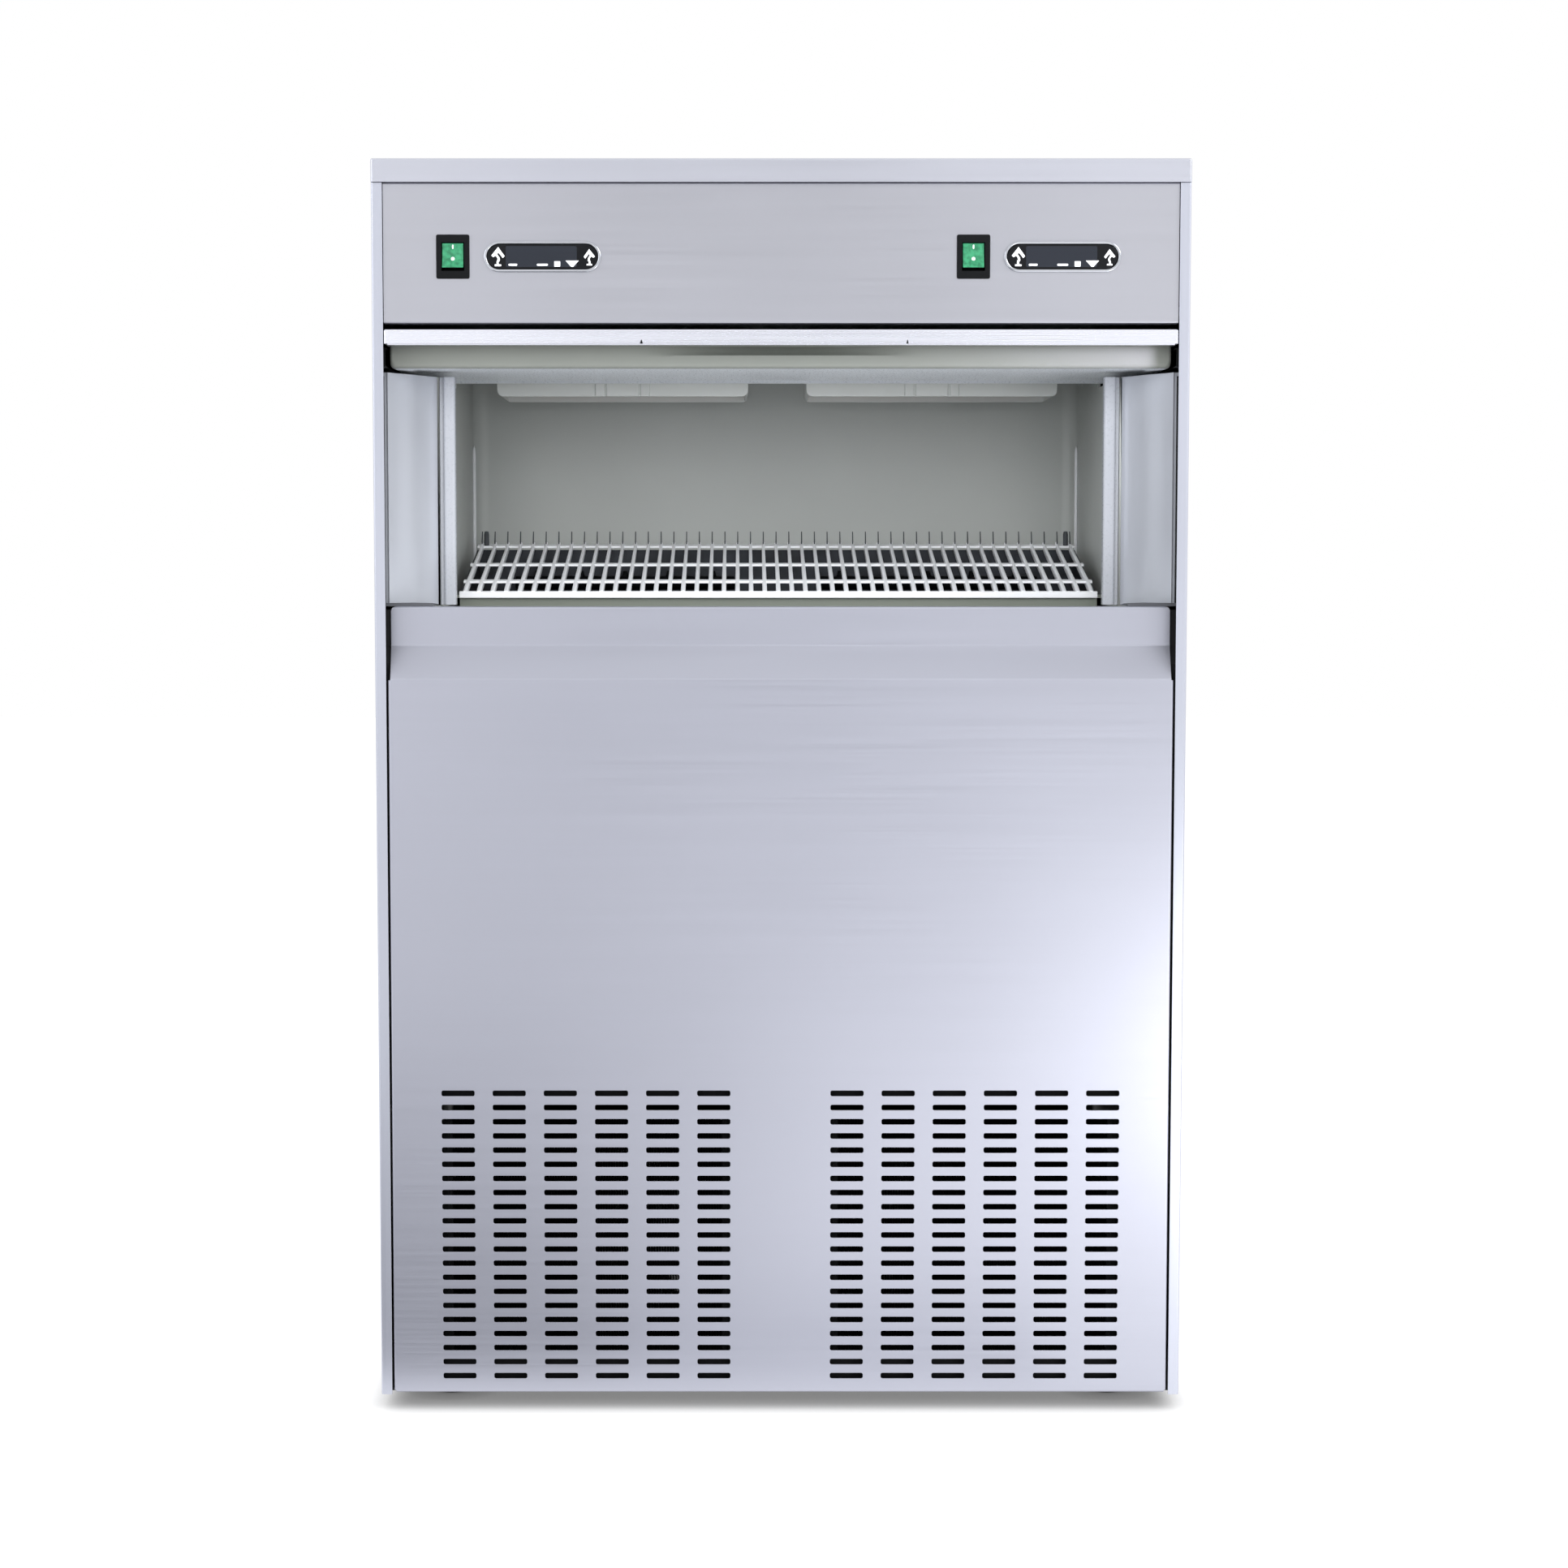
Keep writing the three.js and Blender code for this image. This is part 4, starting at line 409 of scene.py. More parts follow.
# Control panel. The folded stainless strip under the lid, cut for two rocker switches and two
# indicator windows, and screwed behind its upper and lower edges.
def punched(points, holes, steps=4):
    """A grid of points as a surface with rounded openings in some cells, each given as row, column,
    shift across, shift up, width, height and radius: four flat faces join its outline to the cell."""
    flat = points.reshape(-1, 3)
    rows, columns = points.shape[:2]
    cells = cells_of(np.arange(rows * columns).reshape(rows, columns))
    holes = np.asarray(holes, float)
    row, column = holes[:, :2].astype(int).T
    whole = np.ones((rows - 1, columns - 1), bool)
    whole[row, column] = False
    cell = cells[row, column]
    across, up, width, height, radius = holes[:, 2:].T[..., None]
    angle = quarter_turns(2 * steps)
    quarter = angle.shape[1]
    angle = angle.ravel()
    sign_x = np.repeat([-1.0, 1.0, 1.0, -1.0], quarter)
    sign_z = np.repeat([-1.0, -1.0, 1.0, 1.0], quarter)
    outline_x = across + sign_x * (width / 2 - radius) + radius * np.cos(angle)
    outline_z = up + sign_z * (height / 2 - radius) + radius * np.sin(angle)
    outline = flat[cell].mean(1)[:, None] + 0.001 * np.stack([outline_x, 0 * outline_x, outline_z], -1)
    count = len(angle)
    rim = rows * columns + np.arange(len(holes) * count).reshape(len(holes), count)
    faces = cells[whole].tolist()
    for side in range(4):
        around = (side * quarter + steps + np.arange(quarter, -1, -1)) % count
        faces += np.concatenate([cell[:, [side, (side + 1) % 4]], rim[:, around]], 1).tolist()
    return np.concatenate([flat, outline.reshape(-1, 3)]), faces


control_low = 998.3
control_face = 4.0
control_half = 358.6
switch_z = 1057.8
switch_x = (-295.7, 173.2)
switch_size = (30.0, 39.4)
display_x = (-215.0, 253.5)
display_size = (105.4, 27.5)
control_path = folded([[22, control_low], [control_face, control_low],
                       [control_face, panel_top], [22, panel_top]], 1.6)
control_rows = np.concatenate([
    control_path[:6], [[control_face, switch_z - 25], [control_face, switch_z + 25]], control_path[6:]])
control_lines = np.sort(np.concatenate([
    [-control_half, control_half], *[[x - 22, x + 22] for x in switch_x], *[[x - 58, x + 58] for x in display_x]]))
control_holes = [
    [6, np.searchsorted(control_lines, x) - 1, 0, 0, *cut] for cut, places in (
        ((switch_size[0] - 2, switch_size[1] - 2, 0.5), switch_x),
        ((display_size[0] - 4.2, display_size[1] - 4.2, (display_size[1] - 4.3) / 2), display_x)) for x in places]
control_strip = punched(place(control_lines[None, :], control_rows[:, :1], control_rows[:, 1:]), control_holes)
control_steel = steel("control_steel", (184, 185, 193), (4, 800, 800))
fitted(piece("control_strip", control_strip, wall=sheet, ease=0.2, middle=(0, 60, 1061)),
       control_steel, "steel", "control_panel")


# Front panel. One long folded sheet of stainless steel: the vented lower face, a slope that forms the
# finger recess, the upright sill under the opening and a top edge turned back over the insulation.
front_half = 357.3
front_low = 17.0
front_y = 2.0
front_back = 14.0
slope_low = 677.2
slope_high = 707.5
sill_y = 25.0
sill_z = 743.0
sill_half = 356.8
sill_round = 4.5
vent_slot = (30.5, 5.2)
vent_round = 1.7
vent_pitch = (47.0, 13.2)
vent_inner = 46.0
vent_first = 32.6
vent_count = (6, 21)
fold = 2.0
front_path = folded([[front_back, front_low], [front_y, front_low], [front_y, slope_low], [sill_y, slope_high],
                     [sill_y, sill_z], [37, sill_z]], [fold, 3.0, 3.0, fold], 5)
bottom_rows, slope_rows = front_path[:7], front_path[7:]
vent_z = vent_first + vent_pitch[1] * (np.arange(vent_count[1] + 1) - 0.5)
vent_x = vent_inner - (vent_pitch[0] - vent_slot[0]) / 2 + vent_pitch[0] * np.arange(vent_count[0] + 1)
side_arc = np.linspace(0, math.pi / 2, 6)
half_x = np.concatenate([vent_x, front_half - fold + fold * np.sin(side_arc), [front_half]])
half_y = np.concatenate([front_y + 0 * vent_x, front_y + fold * (1 - np.cos(side_arc)), [front_back]])
face_x = np.concatenate([-half_x[::-1], half_x])
face_y = np.concatenate([half_y[::-1], half_y])
vented_z = np.concatenate([[front_low + fold], vent_z, slope_rows[:1, 1]])
vent_columns = np.arange(vent_count[0]) + len(half_x) - len(vent_x)
vent_columns = np.concatenate([vent_columns, vent_columns + len(vent_x)])
row_of, column_of = np.meshgrid(1 + np.arange(vent_count[1]), vent_columns, indexing="ij")
vent_cells = np.column_stack([row_of.ravel(), column_of.ravel(),
                              np.tile([0, 0, *vent_slot, vent_round], (row_of.size, 1))])
vented_face = punched(place(face_x[None, :], face_y[None, :], vented_z[:, None]), vent_cells)

flat_half = front_half - fold
flat_lines = np.concatenate([[-flat_half], -vent_x[::-1], vent_x, [flat_half]])
bottom_fold = skin(place(flat_lines[None, :], bottom_rows[:, :1], bottom_rows[:, 1:]))
sill_rows = np.linspace(sill_z - sill_round, sill_z - fold - 0.4, 6)
upper_rows = np.concatenate([slope_rows, np.column_stack([np.full(6, sill_y), sill_rows])])
upper_rows = upper_rows[np.lexsort((upper_rows[:, 0], np.round(upper_rows[:, 1], 6)))]
climb = np.clip((upper_rows[:, 1] - slope_low) / (slope_high - slope_low), 0, 1)
over = np.clip(upper_rows[:, 1] - (sill_z - sill_round), 0, sill_round - 0.01)
upper_half = (flat_half + (sill_half - flat_half) * climb
              - sill_round + np.sqrt(sill_round ** 2 - over ** 2))
upper_face = skin(place(flat_lines / flat_half * upper_half[:, None], upper_rows[:, :1], upper_rows[:, 1:]))
front_steel = steel("front_steel", (183, 185, 197), (4, 800, 800), clouds=0.05, cloud_scale=2.0)
fitted(piece("front_sheet", vented_face, bottom_fold, upper_face, wall=sheet, ease=0.22, middle=(0, 80, 380)),
       front_steel, "steel", "front_panel")


# Back of the casing. The rear panel, pressed in a little inside its rim, and the slotted service panel
# under it are galvanised, as are the ceiling over the chamber and the electrical box on it.
def spangled_effect(tree, given, spot):
    """Flakes of zinc: cells of one tone each, from -1/2 to 1/2 of the contrast, and one roughness."""
    flakes = wired(tree, "TexVoronoi", {"Vector": spot, "Scale": given["Scale"], "Randomness": 1.0})
    flake = wired(tree, "SeparateColor", {0: flakes["Color"]})
    colour = toned(tree, given["Colour"], (ranged(tree, flake[0], 0.0, 1.0, -0.5, 0.5), given["Contrast"]))
    roughness = ranged(tree, flake[1], 0.0, 1.0, given["Low Roughness"], given["High Roughness"])
    return colour, roughness, flakes["Distance"]


def softened(node, width, material, slot, angle=30):
    """A copy of a CAD node in its finish, with its loose triangles merged, its flat faces joined and
    its edges rounded."""
    shape = bmesh.new()
    shape.from_mesh(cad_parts[node].data)
    bmesh.ops.remove_doubles(shape, verts=shape.verts, dist=2e-6)
    bmesh.ops.dissolve_limit(
        shape, angle_limit=math.radians(1), verts=shape.verts, edges=shape.edges, delimit={"NORMAL"})
    mesh = bpy.data.meshes.new(node + "_made")
    shape.to_mesh(mesh)
    shape.free()
    fitted(eased(shown(node + "_made", mesh), width, angle), material, slot, node)


spangled = finish_group("zinc_spangle", {
    "Colour": (0.4, 0.41, 0.42, 1), "Scale": 70.0, "Contrast": 0.16,
    "Low Roughness": 0.38, "High Roughness": 0.6}, spangled_effect)
zinc = grouped_material("galvanised_sheet", spangled, {
    "Colour": srgb(168, 172, 176), "Scale": 90.0, "Contrast": 0.2}, metallic=0.8, bump=0.05)

rear_half = 366.0
rear_low = 299.0
rear_face = 689.5
rear_rim = 34.0
rear_slope = 10.0
rear_press = 0.9
rear_x = np.linspace(-rear_half, rear_half, 61)
rear_z = np.linspace(rear_low, panel_top, 69)
rear_in = np.minimum(rear_half - abs(rear_x)[None, :], np.minimum(rear_z - rear_low, panel_top - rear_z)[:, None])
rear_share = np.clip((rear_in - rear_rim) / rear_slope, 0, 1)
rear_share = rear_share * rear_share * (3 - 2 * rear_share)
rear_sheet = skin(place(rear_x[None, :], rear_face - rear_press * rear_share, rear_z[:, None]))
fitted(piece("rear_sheet", rear_sheet, wall=0.3, middle=(0, 500, 700)), zinc, "galvanised", "rear_panel")

service_face = 665.2
service_top = 298.7
service_path = folded([[service_face, panel_bottom], [service_face, service_top], [688, service_top]], 1.6)
service_levels = [44, 90, 99, 121, 143, 165, 187, 209, 224, 256]
service_rows = np.concatenate([
    service_path[:1], np.column_stack([np.full(10, service_face), service_levels]), service_path[1:]])
service_lines = np.array([-353.7, -305, -265, -225, -15, 15, 225, 280, 320, 353.7])
inlet_hole = [9, 1, 0, 0, 26.6, 26.6, 13.2]
drain_hole = [1, 4, 0, -6, 24.6, 24.6, 12.2]
gland_hole = [1, 7, 0, 8, 18.6, 18.6, 9.2]
louvres = [[row, column, 0, 0, 200, 8, 3.8] for row in range(3, 8) for column in (3, 5)]
service_sheet = punched(place(service_lines[None, :], service_rows[:, :1], service_rows[:, 1:]),
                        louvres + [inlet_hole, drain_hole, gland_hole])
fitted(piece("service_sheet", service_sheet, wall=sheet, ease=0.2, middle=(0, 500, 150)),
       zinc, "galvanised", "service_panel")
for node in ("ceiling_panel", "electrical_box"):
    softened(node, 0.35, zinc, "galvanised")


# Feet. Four low pads of black rubber, wider at the floor, screwed into the base tray.
# They are turned shapes with a rounded rim.
def grained_effect(tree, given, spot):
    """A fine moulded grain, and a slow unevenness of the tone from -1 to 1."""
    pits = wired(tree, "TexNoise", {"Vector": spot, "Scale": given["Grain Scale"], "Detail": 2.0})["Fac"]
    shade = wired(tree, "TexNoise", {"Vector": spot, "Scale": given["Cloud Scale"], "Detail": 3.0})["Fac"]
    colour = toned(tree, given["Colour"], (ranged(tree, shade, 0.3, 0.7, -1.0, 1.0), given["Cloud Amount"]))
    return colour, ranged(tree, pits, 0.3, 0.7, given["Low Roughness"], given["High Roughness"]), pits


grained = finish_group("moulded_grain", {
    "Colour": (0.5, 0.5, 0.5, 1), "Grain Scale": 900.0, "Cloud Scale": 5.0, "Cloud Amount": 0.05,
    "Low Roughness": 0.4, "High Roughness": 0.55}, grained_effect)


def moulded(name, colour, low=0.4, high=0.55, grain=900.0, clouds=0.04, bump=0.15, metallic=0.0, **plain):
    """A moulded or painted finish with a fine grain and a slight unevenness of tone. Underscores in the
    name of a plain socket stand for spaces."""
    return grouped_material(name, grained, {
        "Colour": srgb(*colour), "Grain Scale": grain, "Cloud Amount": clouds,
        "Low Roughness": low, "High Roughness": high}, metallic=metallic, bump=bump,
        plain={socket.replace("_", " "): value for socket, value in plain.items()})


def round_turn(sides):
    """The angles of a full circle in equal steps."""
    return np.linspace(0, 2 * math.pi, sides, endpoint=False)


def turned(profile, centre, along="z", sides=32):
    """A profile of radius and height turned about an axis: (r cos a, r sin a, h) round the centre."""
    profile = np.asarray(profile, float)
    radius, height = profile[:, :1], profile[:, 1:]
    first, second = radius * np.cos(round_turn(sides)), radius * np.sin(round_turn(sides))
    if along == "y":
        first, second = second, first
    return skin(place(*[c + a for c, a in zip(centre, axes(along, first, second, height))]), True)


rubber = moulded("black_rubber", (30, 31, 33), 0.75, 0.9, 600.0, 0.1, 0.3)
foot_profile = [[0, 0], [16, 0], [19.2, 0.3], [20.7, 1.4], [21, 2.6], [20.2, 5], [18.6, 12], [18, 14.7], [0, 14.7]]
for row, y in (("front", 80), ("rear", 610)):
    for name, side in sides:
        foot = piece(f"pad_{row}_{name}", turned(foot_profile, (side * 310, y, 0)))
        fitted(foot, rubber, "rubber", f"foot_{row}_{name}")


# Frame sheets behind the vents. The base tray, the machine deck and the inner faces of the casing's
# sheets are coloured near black as painted shade, so nothing bright shows through the slots.
vent_shade_coat = moulded("vent_painted_shade", (15, 16, 18), 0.5, 0.65, 500.0, 0.1, 0.1, Specular_IOR_Level=0.2)
base_tray = tray(-367.5, 367.5, 14.3, 663.7, 45, panel_bottom, 2, 1.6)
fitted(piece("base_sheet", base_tray, wall=sheet, ease=0.2, middle=(0, 345, 60)),
       vent_shade_coat, "black_steel", "base_tray")
softened("machine_deck", 0.35, vent_shade_coat, "black_steel")
for name in ("side_left", "side_right", "service_sheet"):
    bpy.data.objects[name].data.materials.append(vent_shade_coat)
    bpy.data.objects[name].modifiers["wall"].material_offset = 1


# Insulation. One block of poured foam between the casing and the liner, its front edges coloured black
# as painted shade where the gaps beside the sill would show them.
def ramp(tree, value, low, low_colour, high, high_colour):
    """A colour that goes from one to the other while the value climbs from low to high."""
    made = tree.nodes.new("ShaderNodeValToRGB")
    tree.links.new(value, made.inputs["Fac"])
    for end, position, colour in zip(made.color_ramp.elements, (low, high), (low_colour, high_colour)):
        end.position = position
        end.color = srgb(*colour)
    return made.outputs[0]


gap_shade_edge = (-0.235, -0.23)
gap_shade_black = (0.006, 0.006, 0.007, 1)
foam_material, foam_tree, foam_shader = shader_material("poured_foam", roughness=0.95)
foam_spot = wired(foam_tree, "TexCoord")["Object"]
foam_inside = ranged(foam_tree, wired(foam_tree, "SeparateXYZ", {0: foam_spot})["Y"], *gap_shade_edge, 0.0, 1.0)
foam_cells = wired(foam_tree, "TexVoronoi", {"Vector": foam_spot, "Scale": 260.0})["Distance"]
foam_tones = ramp(foam_tree, foam_cells, 0.0, (214, 196, 140), 1.0, (232, 219, 170))
foam_colour = wired(foam_tree, "Mix", {0: foam_inside, 6: gap_shade_black, 7: foam_tones}, data_type="RGBA")[2]
foam_tree.links.new(foam_colour, foam_shader.inputs["Base Color"])
foam_relief = wired(foam_tree, "Bump", {"Strength": 0.4, "Distance": 0.0006, "Height": foam_cells})[0]
foam_tree.links.new(foam_relief, foam_shader.inputs["Normal"])
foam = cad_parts["insulation_foam"]
foam.data.materials.clear()
foam.data.materials.append(foam_material)


# Bin and ice chamber. One vacuum-formed plastic liner: a deep tub with rounded corners, its side and
# back walls carried on above the sill, and flat ledges that lie on the foam. The front ledges are
# coloured dark grey as painted shade in the gaps beside the sill.
liner_half = 320.0
liner_front = 41.0
liner_back = 475.0
liner_corner = 16.0
liner_wall = 3.0
bin_floor = 329.3
floor_round = 14.0
drain_y = 430.0
drain_hole_radius = 12.5
chamber_front = 112.0
ledge_half = 367.5
ledge_z = 956.7
ceiling_z = 1005.0
door_end = 290.0


def liner_ring(inset, corner):
    """One level of the tub: the front edge, the sides with a stop at the chamber's front, the back."""
    ring = corner_ring(-liner_half + inset, liner_half - inset, liner_front + inset, liner_back - inset, corner)
    stops = np.array([[liner_half - inset, chamber_front], [-liner_half + inset, chamber_front]])
    return np.concatenate([ring[:10], stops[:1], ring[10:], stops[1:]])


def wall_between(path, low, high):
    """An upright wall over a flat path."""
    return skin(place(path[None, :, 0], path[None, :, 1], np.array([[low], [high]])))


tub_arc = np.linspace(0, math.pi / 2, 6)[1:]
tub_inset = np.concatenate([floor_round * (1 - np.sin(tub_arc)), [0.0]])
tub_height = np.concatenate([[bin_floor, bin_floor], bin_floor + floor_round * (1 - np.cos(tub_arc)), [sill_z]])
floor_ring = liner_ring(floor_round, liner_corner - floor_round / 2)
spoke = np.arctan2(floor_ring[:, 1] - drain_y, floor_ring[:, 0])
drain_edge = np.stack([drain_hole_radius * np.cos(spoke), drain_y + drain_hole_radius * np.sin(spoke)], -1)
tub_rings = np.stack([drain_edge, floor_ring, *[liner_ring(d, liner_corner - 0.5 * d) for d in tub_inset]])
tub = skin(place(tub_rings[..., 0], tub_rings[..., 1], tub_height[:, None]), True)
upper_path = liner_ring(0.0, liner_corner)[10:22]
back_path = np.concatenate([[[liner_half, door_end]], upper_path[1:-1], [[-liner_half, door_end]]])
ledges = [skin(place(side * np.array([[liner_half, ledge_half]]), np.array([[y0], [y1]]), z)) + (finish,)
          for _, side in sides for y0, y1, z, finish in (
              (liner_front, chamber_front, sill_z, 1), (chamber_front, liner_back, ledge_z, 0))]
liner_plastic = moulded("liner_plastic", (190, 193, 189), 0.28, 0.36, 500.0, 0.05, 0.08)
# The front ledges' dark grey is painted shade in the gaps beside the sill.
ledge_painted_shade = moulded("ledge_painted_shade", (92, 94, 99), 0.6, 0.7, 500.0, 0.05, 0.08)
fitted(piece("liner_tub", tub, wall_between(upper_path, sill_z, ledge_z),
             wall_between(back_path, ledge_z, ceiling_z), *ledges,
             wall=liner_wall, ease=0.6, middle=(0, 200, 700), facing=-1),
       [liner_plastic, ledge_painted_shade], "liner", "bin_liner")


# Cheeks and edge trims. Glossy moulded covers slant in from the casing to the chamber's front edges,
# where a bright bead with a groove behind it closes each joint.
def rounded_outline(corners, radius):
    """A closed outline with every corner turned on an arc."""
    corners = np.asarray(corners, float)
    return folded(np.concatenate([corners[-1:], corners, corners[:1]]), radius)[1:-1]


cheek_low = 743.3
cheek_wave = 0.9
cheek_plastic = moulded("cheek_plastic", (192, 195, 203), 0.16, 0.24, 300.0, 0.05, 0.03, metallic=0.25,
                        Coat_Weight=0.3, Coat_Roughness=0.1)
trim_plastic = moulded("bright_trim", (178, 181, 188), 0.25, 0.35, 500.0, 0.03, 0.05)
slant = np.linspace(0, 1, 25)[:, None]
slanted = np.array([361.5, 38.0]) * (1 - slant) + np.array([321.6, 109.5]) * slant
slanted += cheek_wave * np.sin(slant * math.pi * 3) * np.sin(slant * math.pi) * np.array([[0.873, 0.487]])
cheek_path = np.concatenate([[[366.8, 43.5], [361.4, 43.5]], slanted[1:]])
trim_outline = rounded_outline([[304.8, 108], [316, 108], [316, 114], [319.7, 114], [319.7, 120], [304.8, 120]],
                               [2.6, 2.6, 0.4, 0.5, 0.5, 0.8])
for name, side in sides:
    fitted(piece("side_cheek_" + name, carried(cheek_path * [side, 1], cheek_low, ledge_z, stations=3),
                 wall=2.4, ease=0.3, middle=(side * 500, 200, 850)), cheek_plastic, "cheek", "cheek_" + name)
    fitted(piece("edge_bead_" + name, carried(trim_outline * [side, 1], cheek_low, ledge_z, closed=True),
                 ease=0.2), trim_plastic, "trim", "edge_trim_" + name)


# Door. It lies open under the ceiling: a stainless tray with its handle edge in front, filled by a
# moulded inner side, and carried at its rear corners by nylon glides in two rails.
door_half = 358.7
door_front = 2.0
door_low = 980.0
# The door's steel is paler than the casing's: partly a brighter finish, partly painted sheen on its front edge.
door_steel_and_sheen = steel("door_steel_and_sheen", (231, 232, 241), (4, 800, 800), clouds=0.03, low=0.22, high=0.32)
door_tray = tray(-door_half, door_half, door_front, 280, door_low, 993, 2.0, 1.8)
door_lip = skin(place(np.array([[-355.3, 355.3]]), np.array([[door_front], [10.0]]), door_low))
fitted(piece("door_tray", door_tray, door_lip, wall=sheet, ease=0.3, middle=(0, 140, 984)),
       door_steel_and_sheen, "steel", "door_skin", body="door")

recess_half = 122.0
recess_depth = 9.0
recess_low = 972.0
recess_high = 979.8
pad_round = 4.0
pad_turn = [pad_round * (1 - math.cos(a)) for a in np.linspace(0, math.pi / 2, 5)]
pad_drop = [pad_round * math.sin(a) for a in np.linspace(0, math.pi / 2, 5)]
pad_rings = [[-355.5, 355.5, 10.6, 278.2, 2, 991.4], [-355.5, 355.5, 10.6, 278.2, 2, 979.7]]
pad_rings += [[-357.0, 357.0, 35, 272, 3, z] for z in np.linspace(979.7, 967.7, 7)]
pad_rings += [[-357.0 + d, 357.0 - d, 35 + d, 272 - d, 5, 964.0 - drop] for d, drop in zip(pad_turn, pad_drop)]
under_rings = [pad_rings[-1], [-340, 340, 50, 257, 8, 960.0], [-337.5, 337.5, 52.5, 254.5, 7, 961.8],
               [-330, 330, 60, 247, 6, 962.0]]


def scooped(rings, steps=4, across=48):
    """The rings as a surface whose front edge is dense in points, with a finger recess pressed in:
    d (1 - (x / w)^2) deep along the width, eased in from the recess's lower edge to its upper edge."""
    levels = []
    for ring in rings:
        outline = corner_ring(*ring[:5], steps)
        edge_x = np.linspace(outline[steps, 0], outline[steps + 1, 0], across + 2)[1:-1]
        edge = np.stack([edge_x, np.full(across, ring[2])], -1)
        outline = np.insert(outline, steps + 1, edge, axis=0)
        rise = np.clip((ring[5] - recess_low) / (recess_high - recess_low), 0, 1) * (ring[5] <= recess_high)
        share = np.clip(1 - (outline[:, 0] / recess_half) ** 2, 0, 1) * (abs(outline[:, 1] - ring[2]) < 0.01)
        outline[:, 1] += recess_depth * share * rise ** 0.5 * (ring[2] > 20)
        levels.append(np.column_stack([outline, np.full(len(outline), ring[5])]))
    return place(*np.moveaxis(np.stack(levels), -1, 0))


inner_plastic = moulded("inner_door_plastic", (128, 131, 125), 0.5, 0.62, 500.0, 0.05, 0.08)
# The underside is coloured far paler and bluer than the band: painted light and reflection on it.
underside_painted_light = moulded("inner_door_underside_painted_light", (236, 241, 247), 0.25, 0.35, 500.0, 0.03, 0.04)
inner_door = piece("inner_door", skin(scooped(pad_rings), True, cap_first=True),
                   skin(scooped(under_rings), True, cap_last=True) + (1,), ease=0.3)
fitted(inner_door, [inner_plastic, underside_painted_light], "beige", "door_liner", body="door")
band_lamp = soft_lamp("band lamp", (0.62, -0.75, 0.99), (0.39, -0.31, 0.97), 0.15, 0.42, (0.82, 0.76, 1.0), 45, False)
band_lamp.light_linking.receiver_collection = bpy.data.collections.new("under the band lamp")
band_lamp.light_linking.receiver_collection.objects.link(inner_door)

nylon = moulded("white_nylon", (232, 232, 228), 0.35, 0.48, 700.0, 0.03, 0.05)
black_plastic = moulded("black_plastic", (14, 15, 17), 0.38, 0.5, 800.0, 0.05, 0.1, Specular_IOR_Level=0.12)
# Two small black prisms on the door's front edge are painted shade in the notches at the handle's ends.
notch_shades = [carried([[x - w, 980.1], [x + w, 980.1], [x + 0.3, 983.5], [x - 0.3, 983.5]], 1.93, 2.4, "y", closed=True)
         for x, w in ((-126.0, 1.4), (114.0, 0.9))]
fitted(piece("door_edge_notch_shade", *notch_shades), black_plastic, "black", body="door")
glide_profile = np.array([
    [0, 365.7], [4.5, 365.7], [6.6, 365.4], [7, 364.7], [7, 360.7], [6.6, 360.0], [4.6, 359.7],
    [4, 359.3], [4, 338.2], [3.4, 337.6], [0, 337.6]])
for name, side in sides:
    fitted(piece("glide_" + name, turned(glide_profile * [1, side], (0, 256.5, 969), "x", 24)),
           nylon, "white", "door_glide_" + name, body="door")
    softened("guide_rail_" + name, 0.5, black_plastic, "black")


# Switches. Two snap-in rocker switches: a black housing with a thin bezel, and a green lit rocker
# with plain on and off marks, pressed in at its upper half.
def stacked(rings, along="z", steps=4):
    """Rounded rectangles joined in their order; each is two starts and ends, a corner radius and a level."""
    flat = np.stack([corner_ring(*ring[:5], steps) for ring in rings])
    level = np.array([[ring[5]] for ring in rings], float)
    return skin(place(*axes(along, flat[..., 0], flat[..., 1], level)), True, cap_first=True, cap_last=True)


green_plastic, green_tree, green_shader = shader_material("green_lens", roughness=0.25)
green_shader.inputs["Coat Weight"].default_value = 0.4
green_depth = wired(green_tree, "TexNoise", {
    "Vector": wired(green_tree, "TexCoord")["Object"], "Scale": 260.0, "Detail": 2.0})["Fac"]
green_tree.links.new(ramp(green_tree, green_depth, 0.35, (16, 104, 68), 0.65, (40, 138, 94)),
                     green_shader.inputs["Base Color"])
mark_white = moulded("printed_white", (240, 242, 244), 0.4, 0.5, 900.0, 0.02, 0.0)
rocker_pin = 10.0
rocker_half = 11.0
rocker_tilt = math.radians(-7)


def dished(z):
    """The depth of a rocker's hollow face at a height: it comes forward as 1.8 (z / 11) squared."""
    return -6.2 - 1.8 * (z / rocker_half) ** 2


def tilted(x, y, z):
    """A rocker's points turned about its pin: depth y cos t - z sin t, height y sin t + z cos t."""
    return place(x, rocker_pin + y * math.cos(rocker_tilt) - z * math.sin(rocker_tilt),
                 switch_z + y * math.sin(rocker_tilt) + z * math.cos(rocker_tilt))


bezel_x, bezel_z = switch_size[0] / 2, switch_size[1] / 2
housing_rings = [
    [10.1, 12.4, 0.4, 23.0], [10.1, 12.4, 0.4, 4.0], [10.4, 12.7, 0.6, 2.6], [10.8, 13.1, 0.8, 2.4],
    [bezel_x - 0.9, bezel_z - 0.9, 1.4, 2.4], [bezel_x - 0.2, bezel_z - 0.2, 1.6, 2.8],
    [bezel_x, bezel_z, 1.6, 3.2], [bezel_x, bezel_z, 1.6, 3.7], [13.7, 18.4, 0.5, 3.7], [13.7, 18.4, 0.5, 26.0]]
rocker_face = np.linspace(rocker_half, -rocker_half, 13)
rocker_outline = np.concatenate([np.stack([dished(rocker_face), rocker_face], -1), [[3, -7], [3, 7]]])
rocker_marks = [corner_ring(-0.7, 0.7, 6.2, 9.8, 0.6), corner_ring(-1.7, 1.7, -4.4, -1.0, 1.65)]
